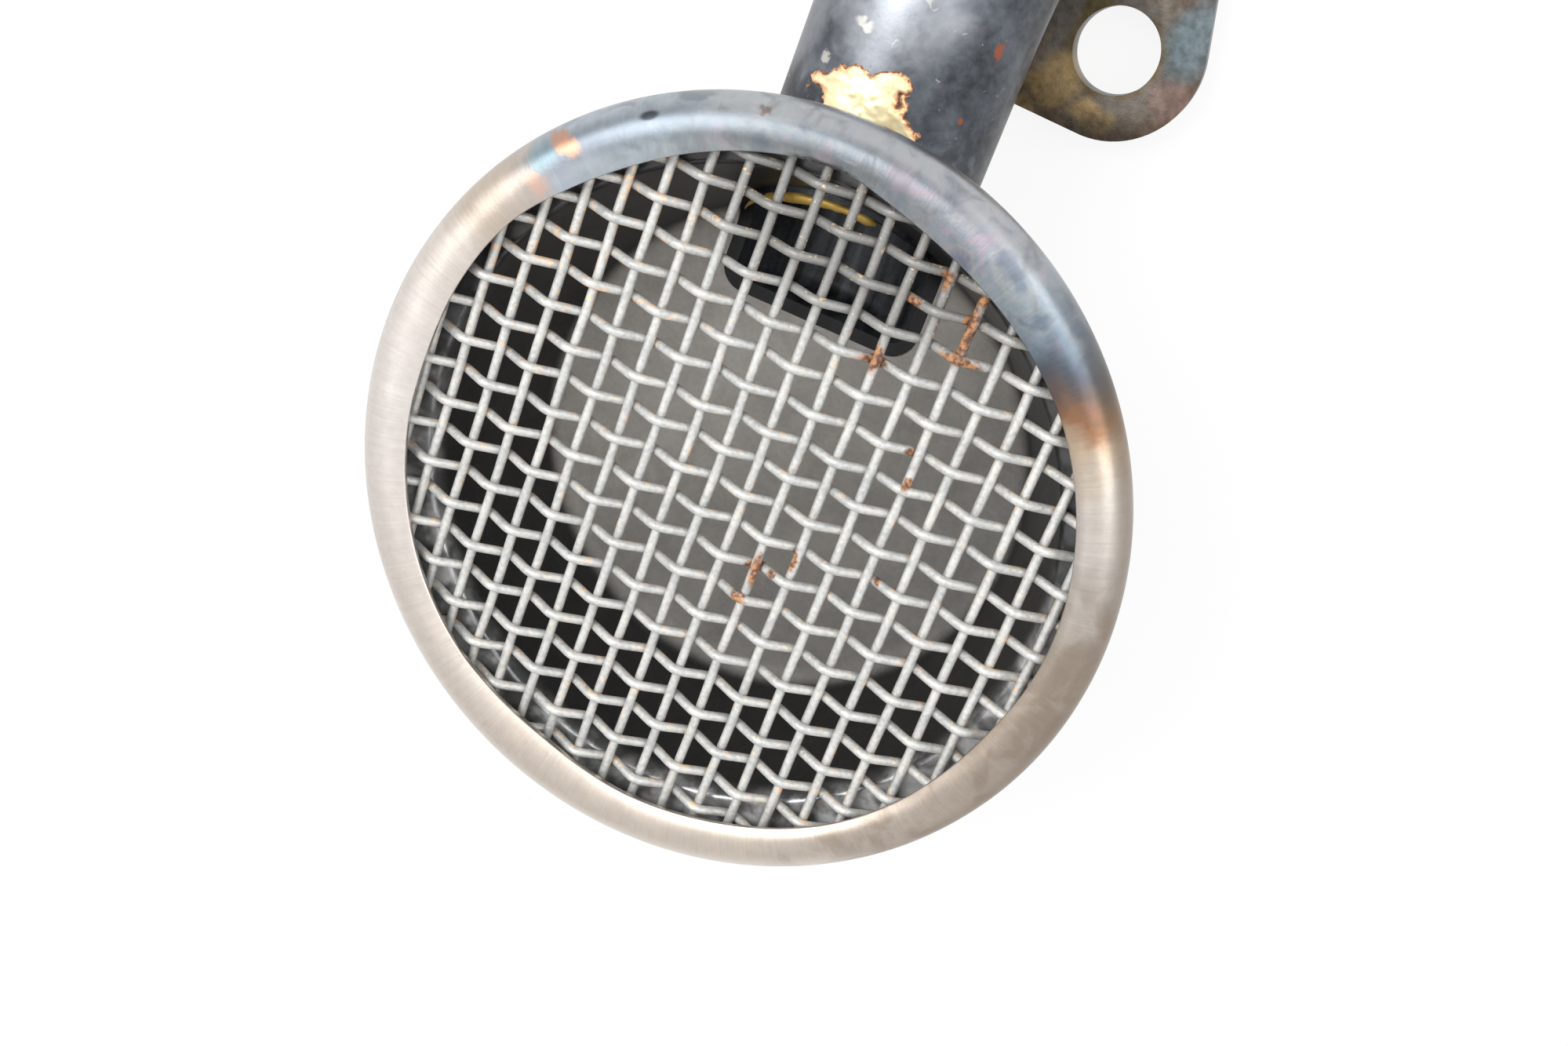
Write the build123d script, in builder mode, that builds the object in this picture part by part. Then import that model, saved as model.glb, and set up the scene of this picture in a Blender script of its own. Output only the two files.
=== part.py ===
from build123d import *
from math import cos, pi, radians, sin, sqrt
import os

# An oil pickup: a wire screen held in a rolled steel cup, brazed to a bent tube with a two-bolt flange.
# The origin is the centre of the outlet on the flange's mating face. +Z points to the side that the
# screen faces, and the tube runs back to the cup along -Y. Sizes are in millimetres.

# Tube
tube_diameter = 20.0
tube_wall = 1.2
bend_radius = 16.0
riser = 1.0
tube_end_round = 2.5

# Flange
flange_thickness = 4.0
flange_body_radius = 20.0
flange_ear_radius = 8.5
bolt_spacing = 39.0
bolt_hole_diameter = 8.4
bolt_line_angle = -38.8
flange_edge_chamfer = 0.5

# Cup: its place from the flange, then its section from the floor to the lip
cup_reach = 57.4
cup_side_step = 2.0
cup_depth = 18.0
sheet = 1.0
floor_radius = 24.0
shoulder_radius = 29.2
rim_radius = 35.2
lip_rise = 0.8
lip_shoulder_drop = 0.6
lip_crown_inset = 2.4
lip_trim = 0.6
floor_corner_round = 2.5
lip_outer_round = 1.2
lip_crown_round = 2.5

# The tube's closed end, as its distance from the cup's axis towards the flange
tube_end_step = 12.6

# The lip's inner edge as the rolling tool left it: angle about the cup and radius, an even number of points
lip_edge = (
    (3, 31.2), (20, 31.35), (38, 31.25), (47, 30.9), (61, 30.4), (73, 30.3), (82, 30.7), (93, 31.8),
    (101.5, 31.2), (115, 30.5), (126, 30.1), (137, 30.15), (148, 30.55), (162, 30.3), (177, 29.95),
    (189, 30.2), (202, 30.4), (217, 30.6), (233, 30.5), (240, 30.2), (254, 29.8), (263, 30.0),
    (272, 30.3), (290, 30.5), (309, 30.9), (323, 30.8), (332, 30.6), (345, 30.55),
)

# Woven screen: straight warp wires along the tube, crimped weft wires across it
wire_diameter = 0.85
warp_pitch = 3.175
weft_pitch = 3.06
warp_offset = 1.375
weft_offset = 1.65
weft_skew = 1.5
screen_radius = 33.6
shortest_half_wire = 4.0
shortest_leg = 0.3
crest_length = 0.5
weft_sides = 4
weave_gap = 0.01
seat_gap = 0.05

# Braze: beads in both joints, the film in the cup's wall, and the spill on top of the tube
bead_leg = 1.6
bead_face = 1.2
inner_bead_leg = 0.4
braze_film = 0.1
flange_bead_leg = 1.0
spill_thickness = 0.25

# Points nearer than this are at one place
same_place = 0.001

# The spill's ragged edge, as the step from the tube's line and the distance from the cup's axis
spill_edge = (
    (-4.2, 33.7), (-4.6, 34.8), (-6.4, 35.6), (-4.6, 36.3), (-2.9, 37.7), (-1.7, 37.8), (-0.9, 37.5),
    (0.6, 38.6), (2.0, 38.4), (2.8, 37.6), (2.9, 35.4), (3.8, 34.7), (4.7, 33.4),
)

# Sizes that follow from the ones above
whole_length = cup_reach + rim_radius
tube_radius = tube_diameter / 2
tube_height = flange_thickness + riser + bend_radius
tube_end = tube_end_step - cup_reach
inner_bead_start = (floor_radius - tube_end_step) / 2
wire_radius = wire_diameter / 2
half_side_angle = pi / weft_sides
weft_corner_radius = wire_radius * sqrt(half_side_angle / (sin(half_side_angle) * cos(half_side_angle)))
weft_half_height = weft_corner_radius * cos(half_side_angle)
crimp = wire_radius + weft_half_height + weave_gap
screen_half_height = crimp + weft_half_height + seat_gap
screen_height = tube_height + cup_depth
wall_radius = rim_radius - sheet
lip_points = [(radius * cos(radians(angle)), radius * sin(radians(angle))) for angle, radius in lip_edge]
lip_limit = min(radius for angle, radius in lip_edge) - lip_trim
skew = radians(weft_skew)
warp_count = int(screen_radius / warp_pitch) + 2
weft_count = int(screen_radius / weft_pitch) + 2

# Places
cup_axis = Axis((cup_side_step, -cup_reach, 0), (0, 0, 1))
cup_section = Plane(origin=(cup_side_step, -cup_reach, screen_height), x_dir=(1, 0, 0), z_dir=(0, -1, 0))
screen_plane = Plane(origin=(cup_side_step, -cup_reach, screen_height), x_dir=(1, 0, 0), z_dir=(0, 0, 1))
weft_plane = screen_plane.rotated((0, 0, weft_skew))
tube_end_plane = Plane(origin=(0, tube_end, tube_height), x_dir=(1, 0, 0), z_dir=(0, 1, 0))
flange_plane = Plane.XY.rotated((0, 0, bolt_line_angle))

os.makedirs("parts", exist_ok=True)


def cup_core(growth):
    """The space inside the cup's floor and cone, grown by a distance on every side."""
    with BuildPart() as core:
        with BuildSketch(cup_section):
            with BuildLine():
                FilletPolyline(
                    (0, -cup_depth),
                    (floor_radius, -cup_depth),
                    (shoulder_radius, -screen_half_height),
                    radius=[floor_corner_round],
                )
                Polyline((shoulder_radius, -screen_half_height), (0, -screen_half_height), (0, -cup_depth))
            make_face()
            if growth != 0:
                offset(amount=growth)
                Rectangle(whole_length, whole_length, align=(Align.MIN, Align.CENTER), mode=Mode.INTERSECT)
        revolve(axis=cup_axis)
    return core.part


def tube_run(growth):
    """The solid inside the tube's outer surface, closed end and bend, grown by a distance."""
    with BuildPart() as run:
        with BuildLine() as line:
            FilletPolyline(
                (0, tube_end - growth, tube_height),
                (0, 0, tube_height),
                (0, 0, 0),
                radius=bend_radius,
            )
        with BuildSketch(tube_end_plane.offset(-growth)):
            Circle(tube_radius + growth)
        sweep(path=line.wire())
        fillet(run.edges().filter_by(GeomType.CIRCLE).sort_by(Axis.Y)[0], radius=tube_end_round + growth)
    return run.part


cup_inside = cup_core(0)
cup_outside = cup_core(sheet)
tube_outside = tube_run(0)
tube_hole = tube_run(braze_film)

# Half of the space that the cup's sheet wraps: floor, cone, ledge, wall, crown and lip
with BuildSketch(cup_section) as hollow:
    with BuildLine():
        FilletPolyline(
            (0, -cup_depth),
            (floor_radius, -cup_depth),
            (shoulder_radius, -screen_half_height),
            (wall_radius, -screen_half_height),
            (wall_radius, screen_half_height + lip_rise - lip_shoulder_drop),
            (wall_radius - lip_crown_inset, screen_half_height + lip_rise),
            (lip_limit, screen_half_height),
            radius=[floor_corner_round, 0, 0, lip_outer_round, lip_crown_round],
        )
        Polyline((lip_limit, screen_half_height), (0, screen_half_height), (0, -cup_depth))
    make_face()

# Strainer cup: the sheet round that space, then the lip's uneven opening and the hole for the tube
with BuildPart() as strainer_cup:
    with BuildSketch(cup_section):
        add(hollow.sketch_local)
        offset(amount=sheet, kind=Kind.INTERSECTION)
        add(hollow.sketch_local, mode=Mode.SUBTRACT)
        Rectangle(whole_length, whole_length, align=(Align.MIN, Align.CENTER), mode=Mode.INTERSECT)
        Rectangle(lip_limit, whole_length, align=(Align.MIN, Align.MIN), mode=Mode.SUBTRACT)
    revolve(axis=cup_axis)
    with BuildSketch(screen_plane):
        with BuildLine():
            for index in range(0, len(lip_points), 2):
                following = (index + 2) % len(lip_points)
                ThreePointArc(lip_points[index], lip_points[index + 1], lip_points[following])
        make_face()
    extrude(amount=whole_length, mode=Mode.SUBTRACT)
    add(tube_hole, mode=Mode.SUBTRACT)

strainer_cup.part.label = "strainer_cup"
export_step(strainer_cup.part, "parts/strainer_cup.step")

# Pickup tube: bent tube with a closed end, cut away where it lies inside the cup
with BuildPart() as pickup_tube:
    add(tube_outside)
    add(tube_run(-tube_wall), mode=Mode.SUBTRACT)
    add(cup_inside, mode=Mode.SUBTRACT)

pickup_tube.part.label = "pickup_tube"
export_step(pickup_tube.part, "parts/pickup_tube.step")

# Mounting flange: a round body drawn out to two ears, with the tube through its middle
with BuildPart() as mounting_flange:
    with BuildSketch(flange_plane):
        Circle(flange_body_radius)
        with GridLocations(bolt_spacing, 0, 2, 1):
            Circle(flange_ear_radius)
        make_hull()
        Circle(tube_radius, mode=Mode.SUBTRACT)
        with GridLocations(bolt_spacing, 0, 2, 1):
            Circle(bolt_hole_diameter / 2, mode=Mode.SUBTRACT)
    extrude(amount=flange_thickness)
    outer_edges = mounting_flange.faces().sort_by(Axis.Z)[-1].outer_wire().edges()
    chamfer(outer_edges, length=flange_edge_chamfer)

mounting_flange.part.label = "mounting_flange"
export_step(mounting_flange.part, "parts/mounting_flange.step")

# Brass film that fills the gap between the tube and the hole in the cup's sheet
with BuildPart() as film:
    add(cup_outside)
    add(tube_hole, mode=Mode.INTERSECT)
    add(cup_inside, mode=Mode.SUBTRACT)

# Brass that ran through the gap and stands inside the cup as a thin bead over the tube's cut edge
with BuildPart() as inside_bead:
    with BuildSketch(tube_end_plane.offset(inner_bead_start)):
        Circle(tube_radius + braze_film + inner_bead_leg)
        Circle(tube_radius - inner_bead_leg, mode=Mode.SUBTRACT)
    extrude(amount=floor_radius)
    add(cup_inside, mode=Mode.INTERSECT)
    add(cup_core(-inner_bead_leg), mode=Mode.SUBTRACT)

# Brass spilled over the top of the tube outside the cup
with BuildPart() as spill:
    with BuildSketch(Plane.XY.offset(tube_height)):
        with BuildLine():
            Polyline(
                (spill_edge[0][0], floor_radius - cup_reach),
                *[(side, along - cup_reach) for side, along in spill_edge],
                (spill_edge[-1][0], floor_radius - cup_reach),
                close=True,
            )
        make_face()
    extrude(amount=whole_length)
    with BuildSketch(tube_end_plane):
        Circle(tube_radius + spill_thickness)
    extrude(amount=whole_length, mode=Mode.INTERSECT)

# Forms that bound the outside bead, one bead's leg out from the cup and from the tube
cup_bead_form = cup_core(sheet + bead_leg)
tube_bead_form = tube_run(bead_leg)


def lies_on_both_forms(edge):
    """Whether an edge runs where the surfaces of the bead's two forms cross."""
    middle = Vertex(edge @ 0.5)
    gaps = [form.shell().distance_to(middle) for form in (cup_bead_form, tube_bead_form)]
    return max(gaps) < same_place


# Cup braze: the outside bead, the film in the wall, the inside bead and the spill as one brass body
with BuildPart() as cup_braze:
    with BuildSketch(tube_end_plane.offset(-bead_leg)):
        Circle(tube_radius + bead_leg)
    extrude(amount=-bend_radius - tube_end + bead_leg)
    fillet(
        cup_braze.edges().filter_by(GeomType.CIRCLE).sort_by(Axis.Y)[0],
        radius=tube_end_round + bead_leg,
    )
    add(cup_bead_form, mode=Mode.INTERSECT)
    chamfer(cup_braze.edges().filter_by(lies_on_both_forms), length=bead_face)
    add(spill.part)
    add(cup_outside, mode=Mode.SUBTRACT)
    add(film.part)
    add(tube_outside, mode=Mode.SUBTRACT)
    add(inside_bead.part)

cup_braze.part.label = "cup_braze"
export_step(cup_braze.part, "parts/cup_braze.step")

# Flange braze: a sloped ring round the tube on top of the flange
with BuildPart() as flange_braze:
    with BuildSketch(Plane.XZ):
        with BuildLine():
            Polyline(
                (tube_radius, flange_thickness),
                (tube_radius + flange_bead_leg, flange_thickness),
                (tube_radius, flange_thickness + flange_bead_leg),
                close=True,
            )
        make_face()
    revolve(axis=Axis.Z)

flange_braze.part.label = "flange_braze"
export_step(flange_braze.part, "parts/flange_braze.step")


def wire_half(distance):
    """Half a wire's length at a distance from the screen's middle: its ends lie inside the round edge."""
    reach = abs(distance) + weft_corner_radius
    if reach >= screen_radius:
        return 0
    return sqrt(screen_radius**2 - reach**2)


def weft_line(weft_index, across):
    """Corners of a weft wire's middle line, as distance along and height: over one warp, under the next."""
    corners = []
    for warp_index in range(-warp_count, warp_count + 1):
        along = (warp_offset + warp_pitch * warp_index + across * sin(skew)) / cos(skew)
        if (warp_index + weft_index) % 2 == 0:
            height = crimp
        else:
            height = -crimp
        corners.append((along - crest_length / 2, height))
        corners.append((along + crest_length / 2, height))
    half = wire_half(across)
    line = [corner for corner in corners if abs(corner[0]) < half]
    for (low, low_height), (high, high_height) in zip(corners, corners[1:]):
        rise = (high_height - low_height) / (high - low)
        if low <= -half < high and line[0][0] + half > shortest_leg:
            line.insert(0, (-half, low_height + rise * (-half - low)))
        if low <= half < high and half - line[-1][0] > shortest_leg:
            line.append((half, low_height + rise * (half - low)))
    return line


# Warp wires: straight, in line with the tube
warp_places = [warp_offset + warp_pitch * index for index in range(-warp_count, warp_count + 1)]
warp_places = [place for place in warp_places if wire_half(place) > shortest_half_wire]
for number, place in enumerate(warp_places, start=1):
    half = wire_half(place)
    start = screen_plane.from_local_coords(Vector(place, -half, 0))
    with BuildPart() as warp_wire:
        with BuildSketch(Plane(origin=start, x_dir=(1, 0, 0), z_dir=(0, 1, 0))):
            Circle(wire_radius)
        extrude(amount=2 * half)
    warp_wire.part.label = f"warp_wire_{number:02d}"
    export_step(warp_wire.part, f"parts/warp_wire_{number:02d}.step")

# Weft wires: crimped over and under the warp, on lines turned a little from square
weft_indices = range(-weft_count, weft_count + 1)
weft_places = [(index, (weft_offset + weft_pitch * index) * cos(skew)) for index in weft_indices]
weft_places = [(index, place) for index, place in weft_places if wire_half(place) > shortest_half_wire]
for number, (index, place) in enumerate(weft_places, start=1):
    with BuildPart() as weft_wire:
        with BuildLine(weft_plane) as route:
            Polyline(*[(along, place, height) for along, height in weft_line(index, place)])
        with BuildSketch(Plane(origin=route.line @ 0, x_dir=weft_plane.y_dir, z_dir=route.line % 0)):
            RegularPolygon(weft_corner_radius, weft_sides, rotation=90 - 180 / weft_sides)
        sweep(path=route.wire(), transition=Transition.RIGHT)
    weft_wire.part.label = f"weft_wire_{number:02d}"
    export_step(weft_wire.part, f"parts/weft_wire_{number:02d}.step")
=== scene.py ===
import logging
import math
import random
from contextlib import contextmanager
from dataclasses import dataclass
from enum import Enum
from typing import Any, Iterator, Sequence

import bpy
from mathutils import Matrix, Vector, noise


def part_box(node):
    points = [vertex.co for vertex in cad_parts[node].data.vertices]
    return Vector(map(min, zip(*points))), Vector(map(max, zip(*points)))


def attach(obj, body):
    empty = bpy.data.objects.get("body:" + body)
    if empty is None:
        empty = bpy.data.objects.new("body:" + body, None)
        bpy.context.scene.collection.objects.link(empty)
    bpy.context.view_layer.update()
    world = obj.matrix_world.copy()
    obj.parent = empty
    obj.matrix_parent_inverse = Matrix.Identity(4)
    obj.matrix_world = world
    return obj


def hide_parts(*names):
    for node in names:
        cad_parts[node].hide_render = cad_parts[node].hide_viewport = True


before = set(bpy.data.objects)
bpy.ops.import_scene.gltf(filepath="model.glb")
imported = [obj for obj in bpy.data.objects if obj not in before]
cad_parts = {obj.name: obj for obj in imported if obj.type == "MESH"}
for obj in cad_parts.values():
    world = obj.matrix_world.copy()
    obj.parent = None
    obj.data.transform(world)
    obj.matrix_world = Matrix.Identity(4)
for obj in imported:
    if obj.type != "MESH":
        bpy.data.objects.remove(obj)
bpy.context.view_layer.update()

log = logging.getLogger("oil_pickup")

MM = 0.001
DOUBLES = 0.0005 * MM
LEVEL = 0.01 * MM
POLE = 0.5 * MM
SPOT_CORE = 0.45
BODY = "root"

Section = list[tuple[float, float]]
Colour = tuple[float, float, float, float]


class Slot(Enum):
    """The record's material slots."""

    CUP = "cup_steel"
    TUBE = "tube_steel"
    FLANGE = "flange_steel"
    WIRE = "screen_wire"
    BRASS = "braze_brass"


class Side(Enum):
    """Which material of a sheet's list covers which of its surfaces."""

    DRAWN = 0
    OFFSET = 1
    CUT = 2


def paint(red: int, green: int, blue: int) -> Colour:
    """Turns a colour as it is seen on a screen, 0 to 255 each, into the linear one that a shader takes."""
    return (*(((value / 255 + 0.055) / 1.055) ** 2.4 for value in (red, green, blue)), 1.0)


def blend(start: float, end: float, share: float) -> float:
    """A value part of the way from start to end."""
    return start + (end - start) * share


def ease(value: float, low: float, high: float) -> float:
    """Rises smoothly from 0 at low to 1 at high."""
    share = min(max((value - low) / (high - low), 0.0), 1.0)
    return share * share * (3 - 2 * share)


def hump(value: float, rise: float, full: float, fall: float, end: float) -> float:
    """Rises smoothly from 0 to 1 between the first two places and falls back between the last two."""
    return ease(value, rise, full) * (1 - ease(value, fall, end))


def ripple(place: Vector, waves: Sequence[tuple[float, float]], aside: float = 0.0) -> float:
    """Adds up noises about 0.

    Args:
        place: Where they are read, in millimetres.
        waves: Height and features for each millimetre of each noise.
        aside: How far aside they are read, for a second set that differs from the first.

    Returns:
        The sum.
    """
    return sum(height * noise.noise(place * scale + Vector((aside, 0, 0))) for height, scale in waves)


def box_centre(node: str) -> Vector:
    """The middle of a node's box."""
    low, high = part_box(node)
    return (low + high) / 2


# Bench work: the few steps that every piece is made with


def clear_selection() -> None:
    """Deselects every object, the frame's nodes among them."""
    bpy.ops.object.select_all(action="DESELECT")


def pick(piece: bpy.types.Object) -> None:
    """Makes one piece the selected and active one.

    Args:
        piece: The piece.
    """
    clear_selection()
    piece.select_set(True)
    bpy.context.view_layer.objects.active = piece


@contextmanager
def editing(piece: bpy.types.Object) -> Iterator[None]:
    """Keeps one piece in edit mode for the length of a block.

    Args:
        piece: The piece.

    Returns:
        The context that the block runs in.
    """
    pick(piece)
    bpy.ops.object.mode_set(mode="EDIT")
    yield
    bpy.ops.object.mode_set(mode="OBJECT")


def settle(name: str) -> bpy.types.Object:
    """Names the newest object and moves its place into its mesh.

    Args:
        name: The piece's name.

    Returns:
        The piece, at the origin, unturned and unscaled.
    """
    piece = bpy.context.active_object
    piece.name = name
    bpy.ops.object.transform_apply(location=True, rotation=True, scale=True)
    return piece


def apply_modifier(piece: bpy.types.Object, kind: str, **settings: Any) -> None:
    """Adds a modifier to a piece and applies it.

    Args:
        piece: The piece.
        kind: The modifier's type.
        settings: Its settings by name.
    """
    pick(piece)
    modifier = piece.modifiers.new(kind.title(), kind)
    for name, value in settings.items():
        setattr(modifier, name, value)
    bpy.ops.object.modifier_apply(modifier=modifier.name)


def tidy_faces(piece: bpy.types.Object) -> None:
    """Merges doubled points and turns every face outwards.

    Args:
        piece: The piece.
    """
    with editing(piece):
        bpy.ops.mesh.select_all(action="SELECT")
        bpy.ops.mesh.remove_doubles(threshold=DOUBLES)
        bpy.ops.mesh.normals_make_consistent(inside=False)


def face_up_at(piece: bpy.types.Object, height: float) -> None:
    """Flips a shell whose level faces look down.

    Args:
        piece: The shell.
        height: The height of the level faces that are looked at.
    """
    levels = [face for face in piece.data.polygons if abs(face.center.z - height) < LEVEL]
    if sum(face.normal.z * face.area for face in levels) < 0:
        with editing(piece):
            bpy.ops.mesh.select_all(action="SELECT")
            bpy.ops.mesh.flip_normals()


def carve(piece: bpy.types.Object, cutter: bpy.types.Object) -> None:
    """Cuts one closed form out of a piece and deletes the cutter."""
    apply_modifier(piece, "BOOLEAN", operation="DIFFERENCE", solver="EXACT", object=cutter)
    bpy.data.objects.remove(cutter)


def smooth(piece: bpy.types.Object, degrees: float) -> None:
    """Shades a piece smooth but for edges sharper than an angle."""
    pick(piece)
    bpy.ops.object.shade_smooth_by_angle(angle=math.radians(degrees))


def rounded(corners: Sequence[tuple[float, float, float]], steps: int) -> Section:
    """Draws a line through corners, each with a round of its own.

    Args:
        corners: Across, up and round of each corner. The two ends have no round.
        steps: Stretches in each round.

    Returns:
        The line's points.
    """
    line = [corners[0][:2]]
    for before, corner, after in zip(corners, corners[1:], corners[2:]):
        here = Vector(corner[:2])
        if corner[2] == 0:
            line.append(tuple(here))
            continue
        back = (Vector(before[:2]) - here).normalized()
        ahead = (Vector(after[:2]) - here).normalized()
        half = back.angle(ahead) / 2
        middle = here + (back + ahead).normalized() * corner[2] / math.sin(half)
        start = here + back * corner[2] / math.tan(half) - middle
        end = here + ahead * corner[2] / math.tan(half) - middle
        first = math.atan2(start.y, start.x)
        turn = math.remainder(math.atan2(end.y, end.x) - first, math.tau)
        for step in range(steps + 1):
            angle = first + turn * step / steps
            line.append((middle.x + corner[2] * math.cos(angle), middle.y + corner[2] * math.sin(angle)))
    line.append(corners[-1][:2])
    return line


def spread(line: Section, longest: float) -> Section:
    """Divides the long stretches of a line evenly.

    Args:
        line: The line's points.
        longest: The length that no stretch is to pass.

    Returns:
        The points with the new ones between them.
    """
    result = [line[0]]
    for (across, up), (next_across, next_up) in zip(line, line[1:]):
        parts = max(1, math.ceil(math.hypot(next_across - across, next_up - up) / longest))
        for part in range(1, parts + 1):
            result.append((blend(across, next_across, part / parts), blend(up, next_up, part / parts)))
    return result


def lathe(
    name: str, section: Section, axis: tuple[float, float], sides: int, closed: bool = False
) -> bpy.types.Object:
    """Turns a section about an upright axis, ring by ring, and fills its last ring.

    Args:
        name: The piece's name.
        section: Radius and height of each ring, in order.
        axis: Where the axis stands.
        sides: Points in a ring.
        closed: Whether the first ring is filled as well.

    Returns:
        The turned shell, with its faces outwards.
    """
    clear_selection()
    fill = "NGON" if closed else "NOTHING"
    radius, height = section[0]
    bpy.ops.mesh.primitive_circle_add(vertices=sides, radius=radius, fill_type=fill, location=(*axis, height))
    piece = settle(name)
    with editing(piece):
        bpy.ops.mesh.select_all(action="SELECT")
        bpy.ops.mesh.select_mode(type="EDGE")
        if closed:
            bpy.ops.mesh.duplicate()
            bpy.ops.mesh.delete(type="ONLY_FACE")
            bpy.ops.mesh.select_all(action="DESELECT")
            bpy.ops.mesh.select_loose()
        for (radius, height), (next_radius, next_height) in zip(section, section[1:]):
            rise = {"value": (0, 0, next_height - height)}
            bpy.ops.mesh.extrude_region_move(TRANSFORM_OT_translate=rise)
            factor = next_radius / radius
            bpy.ops.transform.resize(value=(factor, factor, 1), center_override=(*axis, next_height))
        bpy.ops.mesh.edge_face_add()
    tidy_faces(piece)
    return piece


def rod(
    name: str, line: Sequence[Vector], radii: Sequence[float], sides: int, ring: bool = False
) -> bpy.types.Object:
    """Makes a round bar along a line: a curve with a round bevel, then a mesh.

    Args:
        name: The piece's name.
        line: The middle line's points.
        radii: The bar's radius at each point.
        sides: Faces round the bar, an even number.
        ring: Whether the bar closes on itself.

    Returns:
        The bar.
    """
    clear_selection()
    bpy.ops.curve.primitive_nurbs_path_add(location=(0, 0, 0))
    curve = bpy.context.active_object.data
    curve.splines.clear()
    spline = curve.splines.new("POLY")
    spline.points.add(len(line) - 1)
    for knot, place, radius in zip(spline.points, line, radii):
        knot.co = (*place, 1)
        knot.radius = radius / MM
    spline.use_cyclic_u = ring
    curve.bevel_depth = MM
    curve.bevel_resolution = sides // 2 - 2
    curve.use_fill_caps = not ring
    bpy.ops.object.convert(target="MESH")
    piece = settle(name)
    tidy_faces(piece)
    return piece


# Shader work


class Flow:
    """A value on its way through a material. Python's signs on it add the Math nodes."""

    def __init__(self, graph: "Graph", socket: bpy.types.NodeSocket) -> None:
        """Keeps the graph and the output that the value comes from."""
        self.graph = graph
        self.socket = socket

    def __add__(self, other: "Flow | float") -> "Flow":
        """This value plus another."""
        return self.graph.math("ADD", self, other)

    def __sub__(self, other: "Flow | float") -> "Flow":
        """This value less another."""
        return self.graph.math("SUBTRACT", self, other)

    def __rsub__(self, other: float) -> "Flow":
        """Another value less this one."""
        return self.graph.math("SUBTRACT", other, self)

    def __mul__(self, other: "Flow | float") -> "Flow":
        """This value times another."""
        return self.graph.math("MULTIPLY", self, other)

    def __truediv__(self, other: "Flow | float") -> "Flow":
        """This value over another."""
        return self.graph.math("DIVIDE", self, other)

    def __rtruediv__(self, other: float) -> "Flow":
        """Another value over this one."""
        return self.graph.math("DIVIDE", other, self)

    __radd__ = __add__
    __rmul__ = __mul__


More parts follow.
